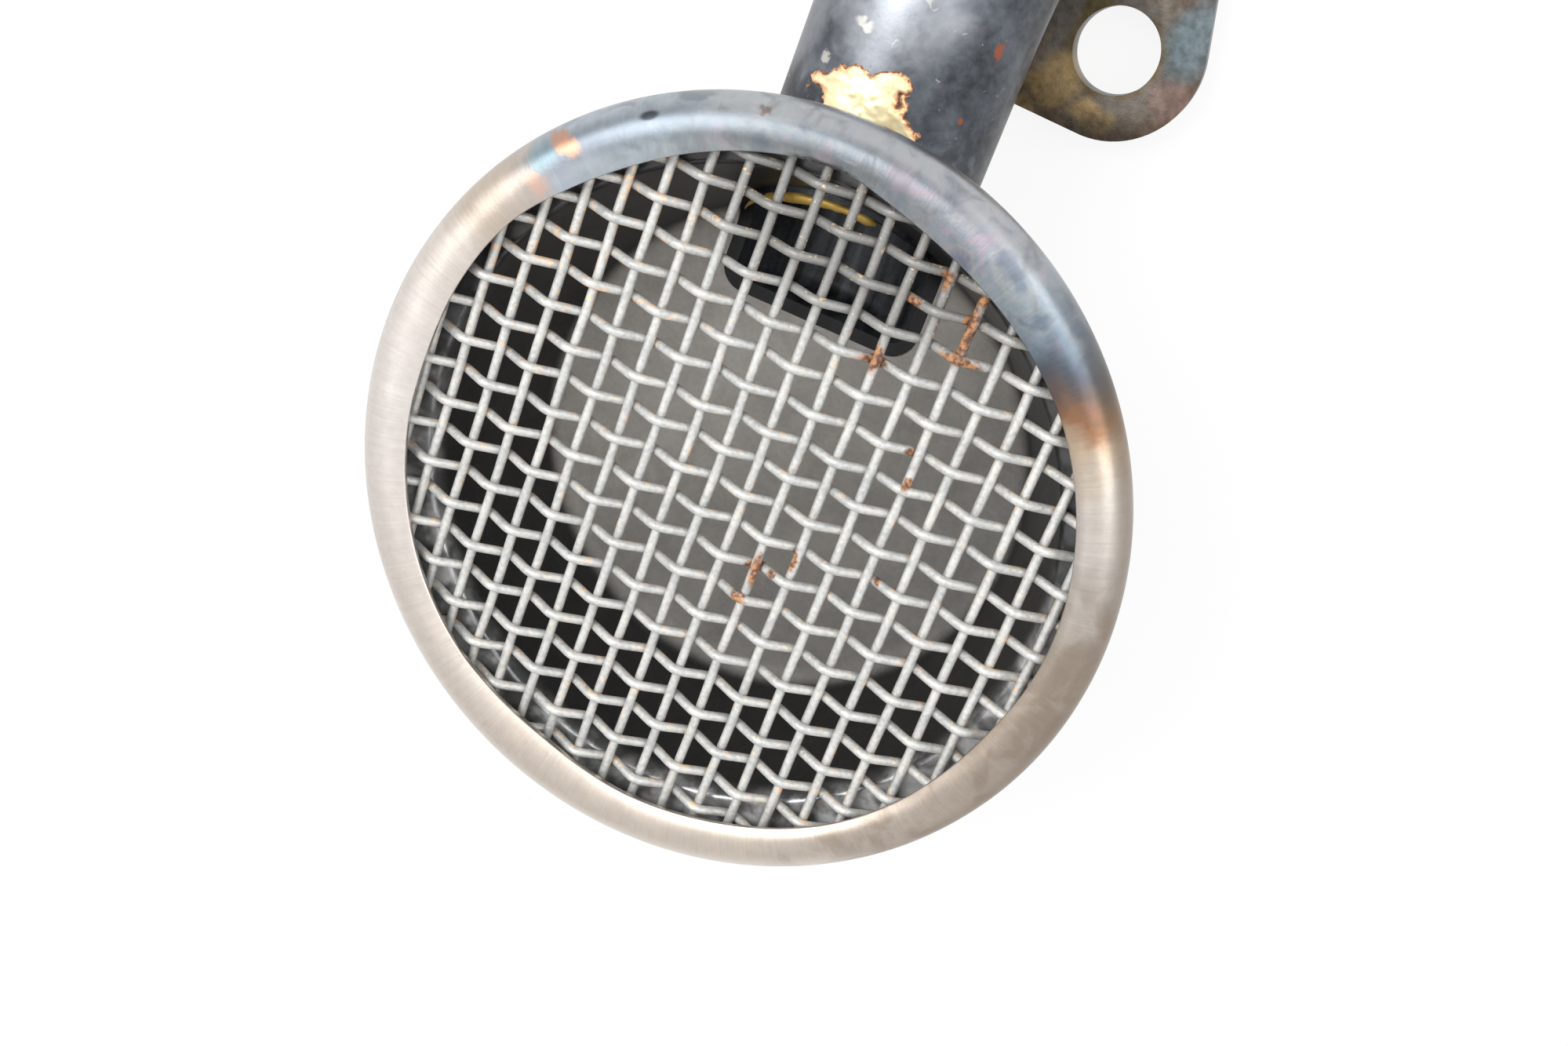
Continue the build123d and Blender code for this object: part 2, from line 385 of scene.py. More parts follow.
class Graph:
    """The node tree of one material or of the world."""

    def __init__(self, owner: bpy.types.Material | bpy.types.World) -> None:
        """Empties the owner's tree.

        Args:
            owner: The material or world.
        """
        owner.use_nodes = True
        self.tree = owner.node_tree
        self.tree.nodes.clear()

    def node(
        self,
        kind: str,
        settings: dict[str, Any] | None = None,
        sockets: dict[str | int, Any] | None = None,
        output: str | int = 0,
    ) -> Flow:
        """Adds a node, first with its settings, then with the values or links of its sockets.

        Args:
            kind: The node's type, without its ShaderNode.
            settings: Properties by name. A ramp's are its stops, as (place, colour) pairs.
            sockets: Values or flows by the input's name or number.
            output: Which output the flow comes from.

        Returns:
            The flow from that output.
        """
        node = self.tree.nodes.new(f"ShaderNode{kind}")
        for name, value in (settings or {}).items():
            if name == "stops":
                while len(node.color_ramp.elements) < len(value):
                    node.color_ramp.elements.new(1)
                for stop, (place, colour) in zip(node.color_ramp.elements, value):
                    stop.position = place
                    stop.color = colour
            else:
                setattr(node, name, value)
        for name, value in (sockets or {}).items():
            if isinstance(value, Flow):
                self.tree.links.new(value.socket, node.inputs[name])
            else:
                node.inputs[name].default_value = value
        return Flow(self, node.outputs[output])

    def math(self, operation: str, *values: Flow | float) -> Flow:
        """Adds a Math node on one, two or three values."""
        return self.node("Math", {"operation": operation}, dict(enumerate(values)))

    def vector(self, operation: str, *values: Any, scale: Flow | float = 1.0) -> Flow:
        """Adds a Vector Math node.

        Args:
            operation: The node's operation.
            values: Its vectors, as values or flows.
            scale: What its SCALE operation, and no other, multiplies by.

        Returns:
            The resulting vector.
        """
        sockets = dict(enumerate(values))
        if operation == "SCALE":
            sockets["Scale"] = scale
        return self.node("VectorMath", {"operation": operation}, sockets)

    def step(self, value: Flow, low: float, high: float) -> Flow:
        """Turns a value into a soft mask.

        Args:
            value: The value.
            low: Where the mask is 0.
            high: Where it is 1. The mask falls where this is the lower of the two.

        Returns:
            The mask, from 0 to 1.
        """
        sockets = {"Value": value, "From Min": low, "From Max": high}
        if high < low:
            sockets = {"Value": value, "From Min": high, "From Max": low, "To Min": 1.0, "To Max": 0.0}
        return self.node("MapRange", {"interpolation_type": "SMOOTHSTEP"}, sockets)

    def mix(self, share: Flow | float, first: Flow | Colour, second: Flow | Colour, way: str = "MIX") -> Flow:
        """Mixes two colours by a share."""
        settings = {"data_type": "RGBA", "blend_type": way}
        return self.node("Mix", settings, {0: share, 6: first, 7: second}, 2)

    def ramp(self, value: Flow, stops: Sequence[tuple[float, Colour]]) -> Flow:
        """Turns a value into a colour by stops."""
        return self.node("ValToRGB", {"stops": stops}, {"Fac": value})

    def noise(self, place: Flow, scale: float, detail: float = 3.0, twist: float = 0.0) -> Flow:
        """Soft noise from 0 to 1 with about scale features for each unit of place."""
        sockets = {"Vector": place, "Scale": scale, "Detail": detail, "Distortion": twist}
        return self.node("TexNoise", None, sockets)

    def place(self, middle: Sequence[float], turn: float = 0.0) -> Flow:
        """The point being shaded, in millimetres.

        Args:
            middle: Where it is measured from.
            turn: How far the frame that it is measured in is turned about Z.

        Returns:
            The point.
        """
        point = self.node("TexCoord", output="Object")
        point = self.vector("SUBTRACT", point, tuple(middle))
        settings = {"rotation_type": "Z_AXIS"}
        point = self.node("VectorRotate", settings, {"Vector": point, "Angle": -turn})
        return self.vector("SCALE", point, scale=1 / MM)

    def split(self, place: Flow) -> tuple[Flow, Flow, Flow]:
        """Takes a place apart.

        Args:
            place: The place.

        Returns:
            Its parts along X, Y and Z.
        """
        node = self.tree.nodes.new("ShaderNodeSeparateXYZ")
        self.tree.links.new(place.socket, node.inputs[0])
        return tuple(Flow(self, output) for output in node.outputs)

    def length(self, across: Flow, along: Flow) -> Flow:
        """How far two parts of a place reach together."""
        return self.math("SQRT", across * across + along * along)

    def spot(self, across: Flow, along: Flow, drift: Flow, spot: "Spot") -> Flow:
        """How strongly a spot covers each place.

        Args:
            across: The first part of the place.
            along: Its second part.
            drift: A noise about 0 that makes the spot's outline ragged.
            spot: The spot.

        Returns:
            The spot's share at its middle, falling to 0 at its reach.
        """
        side = (across + along * spot.slant + drift * spot.ragged[0] - spot.middle[0]) / spot.reach[0]
        ahead = (along + drift * spot.ragged[1] - spot.middle[1]) / spot.reach[1]
        return self.step(self.length(side, ahead), 1.0, SPOT_CORE) * spot.share

    def spots(self, across: Flow, along: Flow, drift: Flow, spots: Sequence["Spot"]) -> Flow:
        """How strongly the strongest of several spots covers each place."""
        return self.most(*(self.spot(across, along, drift, spot) for spot in spots))

    def most(self, *values: Flow) -> Flow:
        """Compares several values.

        Args:
            values: The values.

        Returns:
            The greatest of them.
        """
        result = values[0]
        for value in values[1:]:
            result = self.math("MAXIMUM", result, value)
        return result

    def marked(self, tint: Flow, across: Flow, along: Flow, drift: Flow, marks: "Marks") -> Flow:
        """Lays spots over a tint, one after another.

        Args:
            tint: The colour under the spots.
            across: The first part of the place.
            along: Its second part.
            drift: A noise about 0 that makes their outlines ragged.
            marks: The spots, each with its colour.

        Returns:
            The colour with its spots.
        """
        for spot, colour in marks:
            tint = self.mix(self.spot(across, along, drift, spot), tint, colour)
        return tint

    def shaded(self, tint: Flow, share: float, value: Flow, grey: int) -> Flow:
        """Darkens a tint by a share, down to a grey where a value is low and not at all where it is high."""
        shade = self.ramp(value, [(0.3, paint(grey, grey, grey)), (0.7, paint(255, 255, 255))])
        return self.mix(share, tint, shade, "MULTIPLY")

    def bump(self, height: Flow, depth: float, strength: float = 1.0) -> Flow:
        """A normal from a height, whose full range is a depth in millimetres."""
        return self.node("Bump", None, {"Strength": strength, "Distance": depth * MM, "Height": height})

    def surface(self, **sockets: Any) -> None:
        """Ends a material in one shader.

        Args:
            sockets: Values or flows by the socket's name, with _ for a space.
        """
        named = {name.replace("_", " ").title(): value for name, value in sockets.items()}
        shader = self.node("BsdfPrincipled", None, named)
        self.node_end("OutputMaterial", shader)

    def node_end(self, kind: str, shader: Flow) -> None:
        """Links the last shader to the tree's output node."""
        node = self.tree.nodes.new(f"ShaderNode{kind}")
        self.tree.links.new(shader.socket, node.inputs["Surface"])


def finish(name: str) -> tuple[bpy.types.Material, Graph]:
    """A new material and its graph."""
    material = bpy.data.materials.new(name)
    return material, Graph(material)


# Finishes: noise scales are features for each millimetre, places and reaches are in millimetres


@dataclass(frozen=True)
class Spot:
    """A soft oval: its middle and reach, how strongly it covers, how far noise moves its outline, and its slant."""

    middle: tuple[float, float]
    reach: tuple[float, float]
    share: float = 1.0
    ragged: tuple[float, float] = (0.0, 0.0)
    slant: float = 0.0


Stops = tuple[tuple[float, Colour], ...]
Marks = tuple[tuple[Spot, Colour], ...]


@dataclass(frozen=True)
class RimFinish:
    """Pressed steel, brushed across the rim and tinted by heat towards the tube, by degrees round the rim, with
    painted light and shade: partly in the stops, on a darkened crest, a lightened outer slope and a painted highlight
    on the lower outer edge.
    """

    middle: Vector
    # Colours by degrees round the rim: heat tint towards the tube, and partly painted light and shade. The stops also
    # carry how bright the rim looks at each angle, lightest where its highlight runs away from the tube.
    tints: Stops = (
        (0, paint(172, 160, 148)), (14, paint(196, 188, 182)), (27, paint(202, 194, 186)),
        (34, paint(194, 174, 151)), (38, paint(150, 112, 86)), (42, paint(110, 96, 90)),
        (46, paint(88, 94, 104)), (52, paint(102, 116, 130)), (60, paint(142, 150, 158)),
        (70, paint(142, 138, 150)), (80, paint(134, 136, 142)), (92, paint(138, 140, 142)),
        (106, paint(168, 172, 174)), (120, paint(184, 194, 200)), (131, paint(186, 194, 202)),
        (137, paint(188, 196, 206)), (142, paint(198, 189, 183)), (149, paint(206, 192, 177)),
        (160, paint(225, 216, 208)), (185, paint(226, 219, 214)), (220, paint(214, 205, 197)),
        (250, paint(205, 194, 183)), (290, paint(207, 196, 184)), (320, paint(186, 174, 163)),
        (345, paint(168, 155, 143)), (360, paint(172, 160, 148)),
    )
    mottling: Stops = (
        (0.36, paint(112, 124, 138)), (0.46, paint(172, 174, 170)),
        (0.54, paint(150, 164, 170)), (0.62, paint(182, 171, 177)),
    )
    marks: Marks = (
        (Spot((-43.1, 29.05), (0.75, 0.75), 0.85, slant=-0.9), paint(44, 46, 52)),
        (Spot((-7.96, 33.05), (0.8, 0.4), 0.6, (0.0, 1.5)), paint(112, 84, 70)),
        (Spot((-24.9, 22.5), (1.9, 1.9), 0.4, (0.0, 2.0)), paint(128, 160, 164)),
        (Spot((-24.5, 20.0), (1.7, 1.1), 0.5, (0.0, 2.0)), paint(226, 176, 150)),
        (Spot((-13.6, 24.1), (2.2, 1.2), 0.8, (0.0, 2.0), 0.4), paint(196, 148, 118)),
    )
    outer_skirt: Colour = paint(120, 116, 112)
    brown: Colour = paint(128, 114, 98)
    # Grey that the lip's crest is multiplied by: painted shade.
    crest: Colour = paint(164, 166, 170)
    # Pale grey that the lip's outer slope is lightened towards: painted light.
    slope: Colour = paint(206, 208, 212)
    soot: Colour = paint(96, 100, 106)
    stain: Colour = paint(136, 121, 106)
    # Pale tint for the rolled outer edge at the bottom of the rim: a painted highlight.
    pale: Colour = paint(232, 225, 217)
    crest_radius: float = 32.5
    brush_lines: float = 55.0
    rough: float = 0.36

    def material(self) -> bpy.types.Material:
        """Builds the material.

        Returns:
            The material.
        """
        material, graph = finish("rim_steel")
        place = graph.place(self.middle)
        across, along, up = graph.split(place)
        reach = graph.length(across, along)
        blotch = graph.noise(place, 0.22, 3.0, 0.4)
        fine = graph.noise(place, 1.4, 4.0)
        turn = graph.math("ARCTAN2", along, across) / math.tau + 1.0
        turn = graph.math("FRACT", turn + (blotch - 0.5) * 0.035 + (reach - self.crest_radius) * 0.0012)
        # Heat tint, and partly painted light and shade, by degrees round the rim.
        tint = graph.ramp(turn, [(degrees / 360, colour) for degrees, colour in self.tints])
        mottle = graph.ramp(graph.noise(place, 0.32, 5.0, 0.5), self.mottling)
        tint = graph.mix(graph.step(turn, 0.12, 0.17) * graph.step(turn, 0.4, 0.26) * 0.5, tint, mottle)
        tint = graph.mix(graph.step(up, -1.0, -6.0) * 0.75, tint, self.outer_skirt)
        ring = self.brush_lines / reach
        outward = {0: across * ring, 1: along * ring, 2: reach * 0.05}
        brush = graph.noise(graph.node("CombineXYZ", None, outward), 3.2, 5.0)
        tint = graph.shaded(tint, 0.8, brush * 0.5 + fine * 0.5, 232)
        brown = graph.step(reach, 33.4, 35.0) * graph.step(across, 18.0, 30.0)
        tint = graph.mix(brown * 0.6, tint, self.brown)
        # Painted shade: the lip's crest is darkened between about 60 and 150 degrees round the rim, to hold down its
        # highlight there.
        crest = graph.step(reach, 30.8, 32.6) * graph.step(reach, 34.6, 33.4)
        crest = crest * graph.step(turn, 0.16, 0.27) * graph.step(turn, 0.415, 0.365)
        tint = graph.mix(crest, tint, self.crest, "MULTIPLY")
        # Painted light: the lip's outer slope is lightened between about 47 and 122 degrees round the rim, where it
        # faces away from the lamps.
        slope = graph.step(reach, 33.3, 34.2) * graph.step(turn, 0.13, 0.2) * graph.step(turn, 0.34, 0.28)
        tint = graph.mix(slope * 0.5, tint, self.slope)
        soot = graph.step(graph.noise(place, 0.4, 4.0, 0.8), 0.46, 0.7) * graph.step(along, 18.0, 30.0)
        tint = graph.mix(soot * 0.4, tint, self.soot)
        stain = graph.step(graph.noise(place, 0.26, 5.0, 0.7), 0.42, 0.62) * graph.step(across, 8.0, 24.0)
        tint = graph.mix(stain * graph.step(along, 12.0, 4.0) * 0.5, tint, self.stain)
        # Painted highlight: the rolled outer edge is lightened along the bottom of the rim, away from the tube.
        pale = graph.step(reach, 33.0, 34.4) * graph.step(along, -17.0, -24.0) * graph.step(across, 27.0, 19.0)
        tint = graph.mix(pale * 0.45, tint, self.pale)
        tint = graph.marked(tint, across, along, fine - 0.5, self.marks)
        rough = self.rough + (blotch - 0.5) * 0.2 + (brush - 0.5) * 0.12
        ridges = graph.bump(brush * 0.5 + graph.noise(place, 4.0, 2.0) * 0.5, 0.02, 0.5)
        graph.surface(base_color=tint, metallic=1.0, roughness=rough, normal=ridges)
        return material


@dataclass(frozen=True)
class BowlFinish:
    """The cup's inside: a matt grey floor and a smoother cone, painted dark partly for darker steel and partly as the
    shade inside the cup.
    """

    middle: Vector
    depth: float
    floor: Colour = paint(146, 143, 138)
    lit_floor: Colour = paint(176, 171, 165)
    # Dark grey of the cone wall: partly darker steel, partly painted shade inside the cup.
    cone: Colour = paint(84, 84, 85)
    # Pale grey for the ledge under the lip: painted light shining in under it.
    ledge: Colour = paint(206, 207, 208)

    def material(self) -> bpy.types.Material:
        """Builds the material.

        Returns:
            The material.
        """
        material, graph = finish("bowl_steel")
        place = graph.place(self.middle)
        across, along, up = graph.split(place)
        blotch = graph.noise(place, 0.3, 4.0, 0.5)
        fine = graph.noise(place, 2.0, 4.0)
        level = graph.step(up, 1.6 - self.depth / MM, 0.1 - self.depth / MM)
        lit = graph.step(along - across, -12.0, 20.0)
        # The cone takes the dark grey, partly as painted shade inside the cup.
        tint = graph.mix(level, self.cone, graph.mix(lit, self.floor, self.lit_floor))
        # Painted light: pale blotches on the ledge under the lip at the cup's lower side, made less metallic, where
        # light shines in under the lip.
        lit_shelf = graph.step(up, -3.5, -1.4) * (0.35 + 0.65 * graph.step(graph.noise(place, 0.35, 3.0), 0.42, 0.6))
        tint = graph.mix(lit_shelf * graph.step(along, 10.0, -8.0), tint, self.ledge)
        tint = graph.shaded(tint, 0.8, blotch * 0.6 + fine * 0.4, 196)
        rough = 0.32 + level * 0.32 + (fine - 0.5) * 0.1
        metal = 0.8 - level * 0.5 - lit_shelf * 0.4
        grain = graph.bump(fine, 0.04, 0.5)
        graph.surface(base_color=tint, metallic=metal, roughness=rough, normal=grain)
        return material


@dataclass(frozen=True)
class TubeFinish:
    """Dark blue-grey scale left by the brazing heat, with pale scuffs and a few rust flecks."""

    dark: Colour = paint(58, 61, 66)
    light: Colour = paint(104, 109, 116)
    worn: Colour = paint(160, 163, 169)
    soot: Colour = paint(40, 42, 45)
    tan: Colour = paint(168, 150, 124)
    scuff: Colour = paint(216, 214, 206)
    rust: Colour = paint(158, 86, 58)
    worn_spots: tuple[Spot, ...] = (
        Spot((-1.5, -13.5), (7.5, 8.0), ragged=(9.0, 9.0)),
        Spot((-9.0, -17.0), (3.2, 9.0), 0.7, (0.0, 9.0)),
    )
    scuff_spots: tuple[Spot, ...] = (
        Spot((-3.1, -16.3), (1.1, 0.55), ragged=(0.0, -2.0)),
        Spot((-5.5, -20.1), (0.6, 0.5), ragged=(0.0, -2.0)),
    )
    rust_spots: tuple[Spot, ...] = (
        Spot((7.9, -14.5), (0.4, 1.0), ragged=(1.2, 0.0)),
        Spot((7.2, -20.9), (0.25, 0.4)),
    )

    def material(self) -> bpy.types.Material:
        """Builds the material.

        Returns:
            The material.
        """
        material, graph = finish("tube_steel")
        place = graph.place((0, 0, 0))
        across, along, up = graph.split(place)
        blotch = graph.noise(place, 0.16, 3.0, 0.5)
        fine = graph.noise(place, 1.1, 5.0, 0.3)
        tint = graph.ramp(blotch * 0.6 + fine * 0.4, [(0.34, self.dark), (0.66, self.light)])
        worn = graph.spots(across, along, blotch - 0.5, self.worn_spots)
        tint = graph.mix(worn * (0.45 + fine * 0.4), tint, self.worn)
        edge = graph.step(up, 26.0, 21.0) * graph.step(across, 5.0, 9.0)
        tint = graph.mix(edge * graph.step(fine, 0.36, 0.7) * 0.16, tint, self.tan)
        near = graph.step(along + (blotch - 0.5) * 3.6, -20.5, -24.0)
        near = near * graph.step(graph.noise(place, 0.9, 4.0), 0.36, 0.56)
        tint = graph.mix(near * 0.5, tint, self.soot)
        specks = graph.step(graph.noise(place, 0.8, 5.0, 1.2), 0.68, 0.74) * 0.5
        scuffs = graph.most(graph.spots(across, along, fine - 0.5, self.scuff_spots), specks)
        tint = graph.mix(scuffs * 0.7, tint, self.scuff)
        specks = graph.step(graph.noise(place, 1.3, 3.0), 0.74, 0.78)
        flecks = graph.most(graph.spots(across, along, fine - 0.5, self.rust_spots), specks)
        tint = graph.mix(flecks * 0.8, tint, self.rust)
        rough = 0.4 + (fine - 0.5) * 0.2
        grain = graph.bump(fine * 0.6 + graph.noise(place, 3.5, 3.0) * 0.4, 0.04, 0.45)
        graph.surface(base_color=tint, metallic=0.8, roughness=rough, normal=grain)
        return material


@dataclass(frozen=True)
class SootFinish:
    """Oily soot inside the tube and on its cut edge; the cut edge's near-black is partly painted shade."""

    name: str
    dark: Colour
    light: Colour

    def material(self) -> bpy.types.Material:
        """Builds the material.

        Returns:
            The material.
        """
        material, graph = finish(self.name)
        place = graph.place((0, 0, 0))
        across, along, up = graph.split(place)
        streaks = graph.node("CombineXYZ", None, {0: across, 1: along * 0.08, 2: up * 0.3})
        streak = graph.noise(streaks, 0.8, 3.0)
        fine = graph.noise(place, 2.2, 4.0)
        tint = graph.ramp(streak * 0.8 + fine * 0.2, [(0.4, self.dark), (0.66, self.light)])
        graph.surface(base_color=tint, metallic=0.3, roughness=0.42 + fine * 0.2, normal=graph.bump(fine, 0.04, 0.5))
        return material


@dataclass(frozen=True)
class FlangeFinish:
    """Steel plate with bands of brown, gold and blue-grey round the bolt hole."""

    hole: Vector
    band_width: float = 26.0
    bands: Stops = (
        (0.16, paint(92, 80, 56)), (0.2, paint(104, 98, 92)), (0.26, paint(112, 104, 94)),
        (0.32, paint(104, 88, 76)), (0.42, paint(96, 86, 80)), (0.6, paint(112, 96, 78)),
        (0.8, paint(96, 100, 106)),
    )
    gold: Colour = paint(172, 146, 102)
    gold_spots: tuple[Spot, ...] = (
        Spot((-4.4, -4.6), (3.2, 3.6), ragged=(3.0, 0.0)),
        Spot((0.2, -6.4), (3.4, 1.9), ragged=(0.0, 3.0)),
        Spot((-9.0, -9.0), (5.0, 4.0), ragged=(3.0, 3.0)),
    )
    marks: Marks = (
        (Spot((7.0, -2.4), (3.0, 3.0), 0.6, (3.0, 0.0)), paint(138, 112, 104)),
        (Spot((3.2, -8.2), (6.5, 3.2), 0.7, (3.0, 0.0)), paint(72, 66, 58)),
        (Spot((6.3, 3.4), (3.0, 5.0), 0.6, (0.0, 3.0)), paint(114, 136, 146)),
    )

    def material(self) -> bpy.types.Material:
        """Builds the material.

        Returns:
            The material.
        """
        material, graph = finish("flange_steel")
        place = graph.place(self.hole)
        across, along, _ = graph.split(place)
        blotch = graph.noise(place, 0.2, 3.0, 0.8)
        fine = graph.noise(place, 1.2, 5.0)
        drift = blotch - 0.5
        tint = graph.ramp((graph.length(across, along) + drift * 5.0) / self.band_width, self.bands)
        tint = graph.mix(graph.spots(across, along, drift, self.gold_spots) * 0.8, tint, self.gold)
        tint = graph.marked(tint, across, along, drift, self.marks)
        tint = graph.shaded(tint, 0.9, fine, 196)
        rough = 0.4 + (fine - 0.5) * 0.25
        grain = graph.bump(fine * 0.5 + graph.noise(place, 4.0, 2.0) * 0.5, 0.05, 0.5)
        graph.surface(base_color=tint, metallic=0.85, roughness=rough, normal=grain)
        return material


@dataclass(frozen=True)
class BrassFinish:
    """Pale gold braze, copper-brown where it ran thin at its edge."""

    name: str
    gold: Colour = paint(242, 228, 184)
    ochre: Colour = paint(222, 192, 130)
    peach: Colour = paint(226, 170, 122)
    copper: Colour = paint(136, 80, 56)

    def material(self) -> bpy.types.Material:
        """Builds the material.

        Returns:
            The material.
        """
        material, graph = finish(self.name)
        place = graph.place((0, 0, 0))
        fine = graph.noise(place, 2.6, 4.0, 0.5)
        blotch = graph.noise(place, 0.6, 3.0, 0.6)
        edge = graph.node("Attribute", {"attribute_name": "thin"}, output="Fac")
        tint = graph.mix(graph.step(blotch, 0.48, 0.75) * 0.6, self.gold, self.ochre)
        rim = edge + (fine - 0.5) * 0.8
        tint = graph.mix(graph.step(rim, 0.35, 0.85) * 0.8, tint, self.peach)
        worn = graph.step(rim, 0.82, 1.08)
        tint = graph.mix(worn, tint, self.copper)
        rough = 0.4 + worn * 0.2 + (fine - 0.5) * 0.15
        grain = graph.bump(fine * 0.4 + blotch * 0.6, 0.05, 0.4)
        graph.surface(base_color=tint, metallic=0.5, roughness=rough, normal=grain)
        return material


@dataclass(frozen=True)
class WireFinish:
    """Dull plated wire with orange specks, a few rusted crossings and a painted shadow near the tube."""

    middle: Vector
    turn: float
    rusted: tuple[Spot, ...] = tuple(
        Spot(middle, reach, ragged=(0.9, 0.9))
        for middle, reach in (
            ((14.4, 22.3), (0.9, 3.6)), ((14.8, 19.9), (2.6, 0.7)), ((14.2, 25.2), (1.9, 0.8)),
            ((11.2, 25.6), (0.8, 1.3)), ((9.4, 23.0), (0.9, 0.7)), ((8.0, 17.3), (0.8, 1.7)),
            ((7.9, 16.9), (1.7, 0.6)), ((13.6, 10.8), (0.6, 0.6)), ((14.4, 8.4), (0.5, 0.7)),
            ((15.0, -1.2), (0.5, 0.5)), ((7.4, -2.4), (0.7, 1.5)), ((4.6, -4.7), (0.7, 2.4)),
            ((3.8, -4.7), (0.6, 0.6)), ((6.0, -4.5), (0.6, 0.5)), ((4.0, -7.5), (1.2, 0.6)),
        )
    )
    # Painted shadow: an oval over the wires near the tube, where shadow falls on them.
    shadow_spot: Spot = Spot((5.0, 29.0), (22.0, 14.5), 0.85, (0.0, 6.0))
    rusty_corner: Spot = Spot((-21.0, 20.0), (16.0, 14.0), 0.075)
    zinc: Colour = paint(204, 203, 199)
    dull: Colour = paint(172, 173, 172)
    # Grey of the painted shadow on the wires.
    shadow_grey: Colour = paint(124, 123, 120)
    peach: Colour = paint(236, 200, 162)
    rust: Colour = paint(88, 54, 38)
    ochre: Colour = paint(178, 126, 82)

    def material(self) -> bpy.types.Material:
        """Builds the material.

        Returns:
            The material.
        """
        material, graph = finish("screen_wire")
        place = graph.place(self.middle, self.turn)
        across, along, _ = graph.split(place)
        reach = graph.length(across, along)
        fine = graph.noise(place, 2.2, 4.0)
        blotch = graph.noise(place, 0.5, 3.0)
        tint = graph.ramp(fine * 0.55 + blotch * 0.45, [(0.36, self.dull), (0.6, self.zinc)])
        # Painted shadow: the wires near the tube are darkened towards a grey.
        tint = graph.mix(graph.spot(across, along, blotch - 0.5, self.shadow_spot), tint, self.shadow_grey)
        flank = graph.step(graph.split(graph.node("NewGeometry", output="Normal"))[2], 0.9, 0.35)
        edge = graph.step(reach, 18.0, 31.0) * 0.04
        specks = graph.step(graph.noise(place, 1.9, 3.0) + edge + flank * 0.1, 0.71, 0.76)
        corner = graph.spot(across, along, blotch - 0.5, self.rusty_corner)
        patches = graph.step(graph.noise(place, 1.0, 4.0, 0.6) + corner + flank * 0.06, 0.68, 0.72)
        tint = graph.mix(graph.most(specks, patches) * 0.85, tint, self.peach)
        rusted = graph.spots(across, along, graph.noise(place, 1.1, 3.0) - 0.5, self.rusted)
        rust = graph.mix(graph.step(fine, 0.38, 0.64), self.rust, self.ochre)
        tint = graph.mix(rusted * 0.95, tint, rust)
        metal = 0.4 - rusted * 0.35
        rough = 0.5 + rusted * 0.25 + (fine - 0.5) * 0.2
        grain = graph.bump(fine * 0.6 + graph.noise(place, 6.0, 2.0) * 0.4, 0.1, 0.85)
        graph.surface(base_color=tint, metallic=metal, roughness=rough, normal=grain)
        return material


# Pieces


def lay_on(piece: bpy.types.Object, materials: Sequence[bpy.types.Material]) -> None:
    """Gives a piece its list of materials."""
    for material in materials:
        piece.data.materials.append(material)


def thicken(piece: bpy.types.Object, sheet: float, rim: Side) -> None:
    """Gives a drawn surface its sheet's thickness on the side it turns away from.

    Args:
        piece: The surface.
        sheet: The sheet's thickness.
        rim: Whose material covers the sheet's open edge.
    """
    apply_modifier(
        piece,
        "SOLIDIFY",
        thickness=sheet,
        offset=-1,
        use_even_offset=True,
        material_offset=Side.OFFSET.value,
        material_offset_rim=rim.value,
    )


def hand_over(piece: bpy.types.Object, slot: Slot, materials: Sequence[bpy.types.Material], *nodes: str) -> None:
    """Dresses a finished piece and ties it to the frame.

    Args:
        piece: The piece.
        slot: Its slot in the record.
        materials: Its materials, in the order of its faces' numbers.
        nodes: The nodes that it stands for.
    """
    if not piece.data.materials:
        lay_on(piece, materials)
    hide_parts(*nodes)
    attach(piece, BODY)
    triangles = sum(len(face.vertices) - 2 for face in piece.data.polygons)
    log.info("%s: %d triangles, slot %s", piece.name, triangles, slot.value)


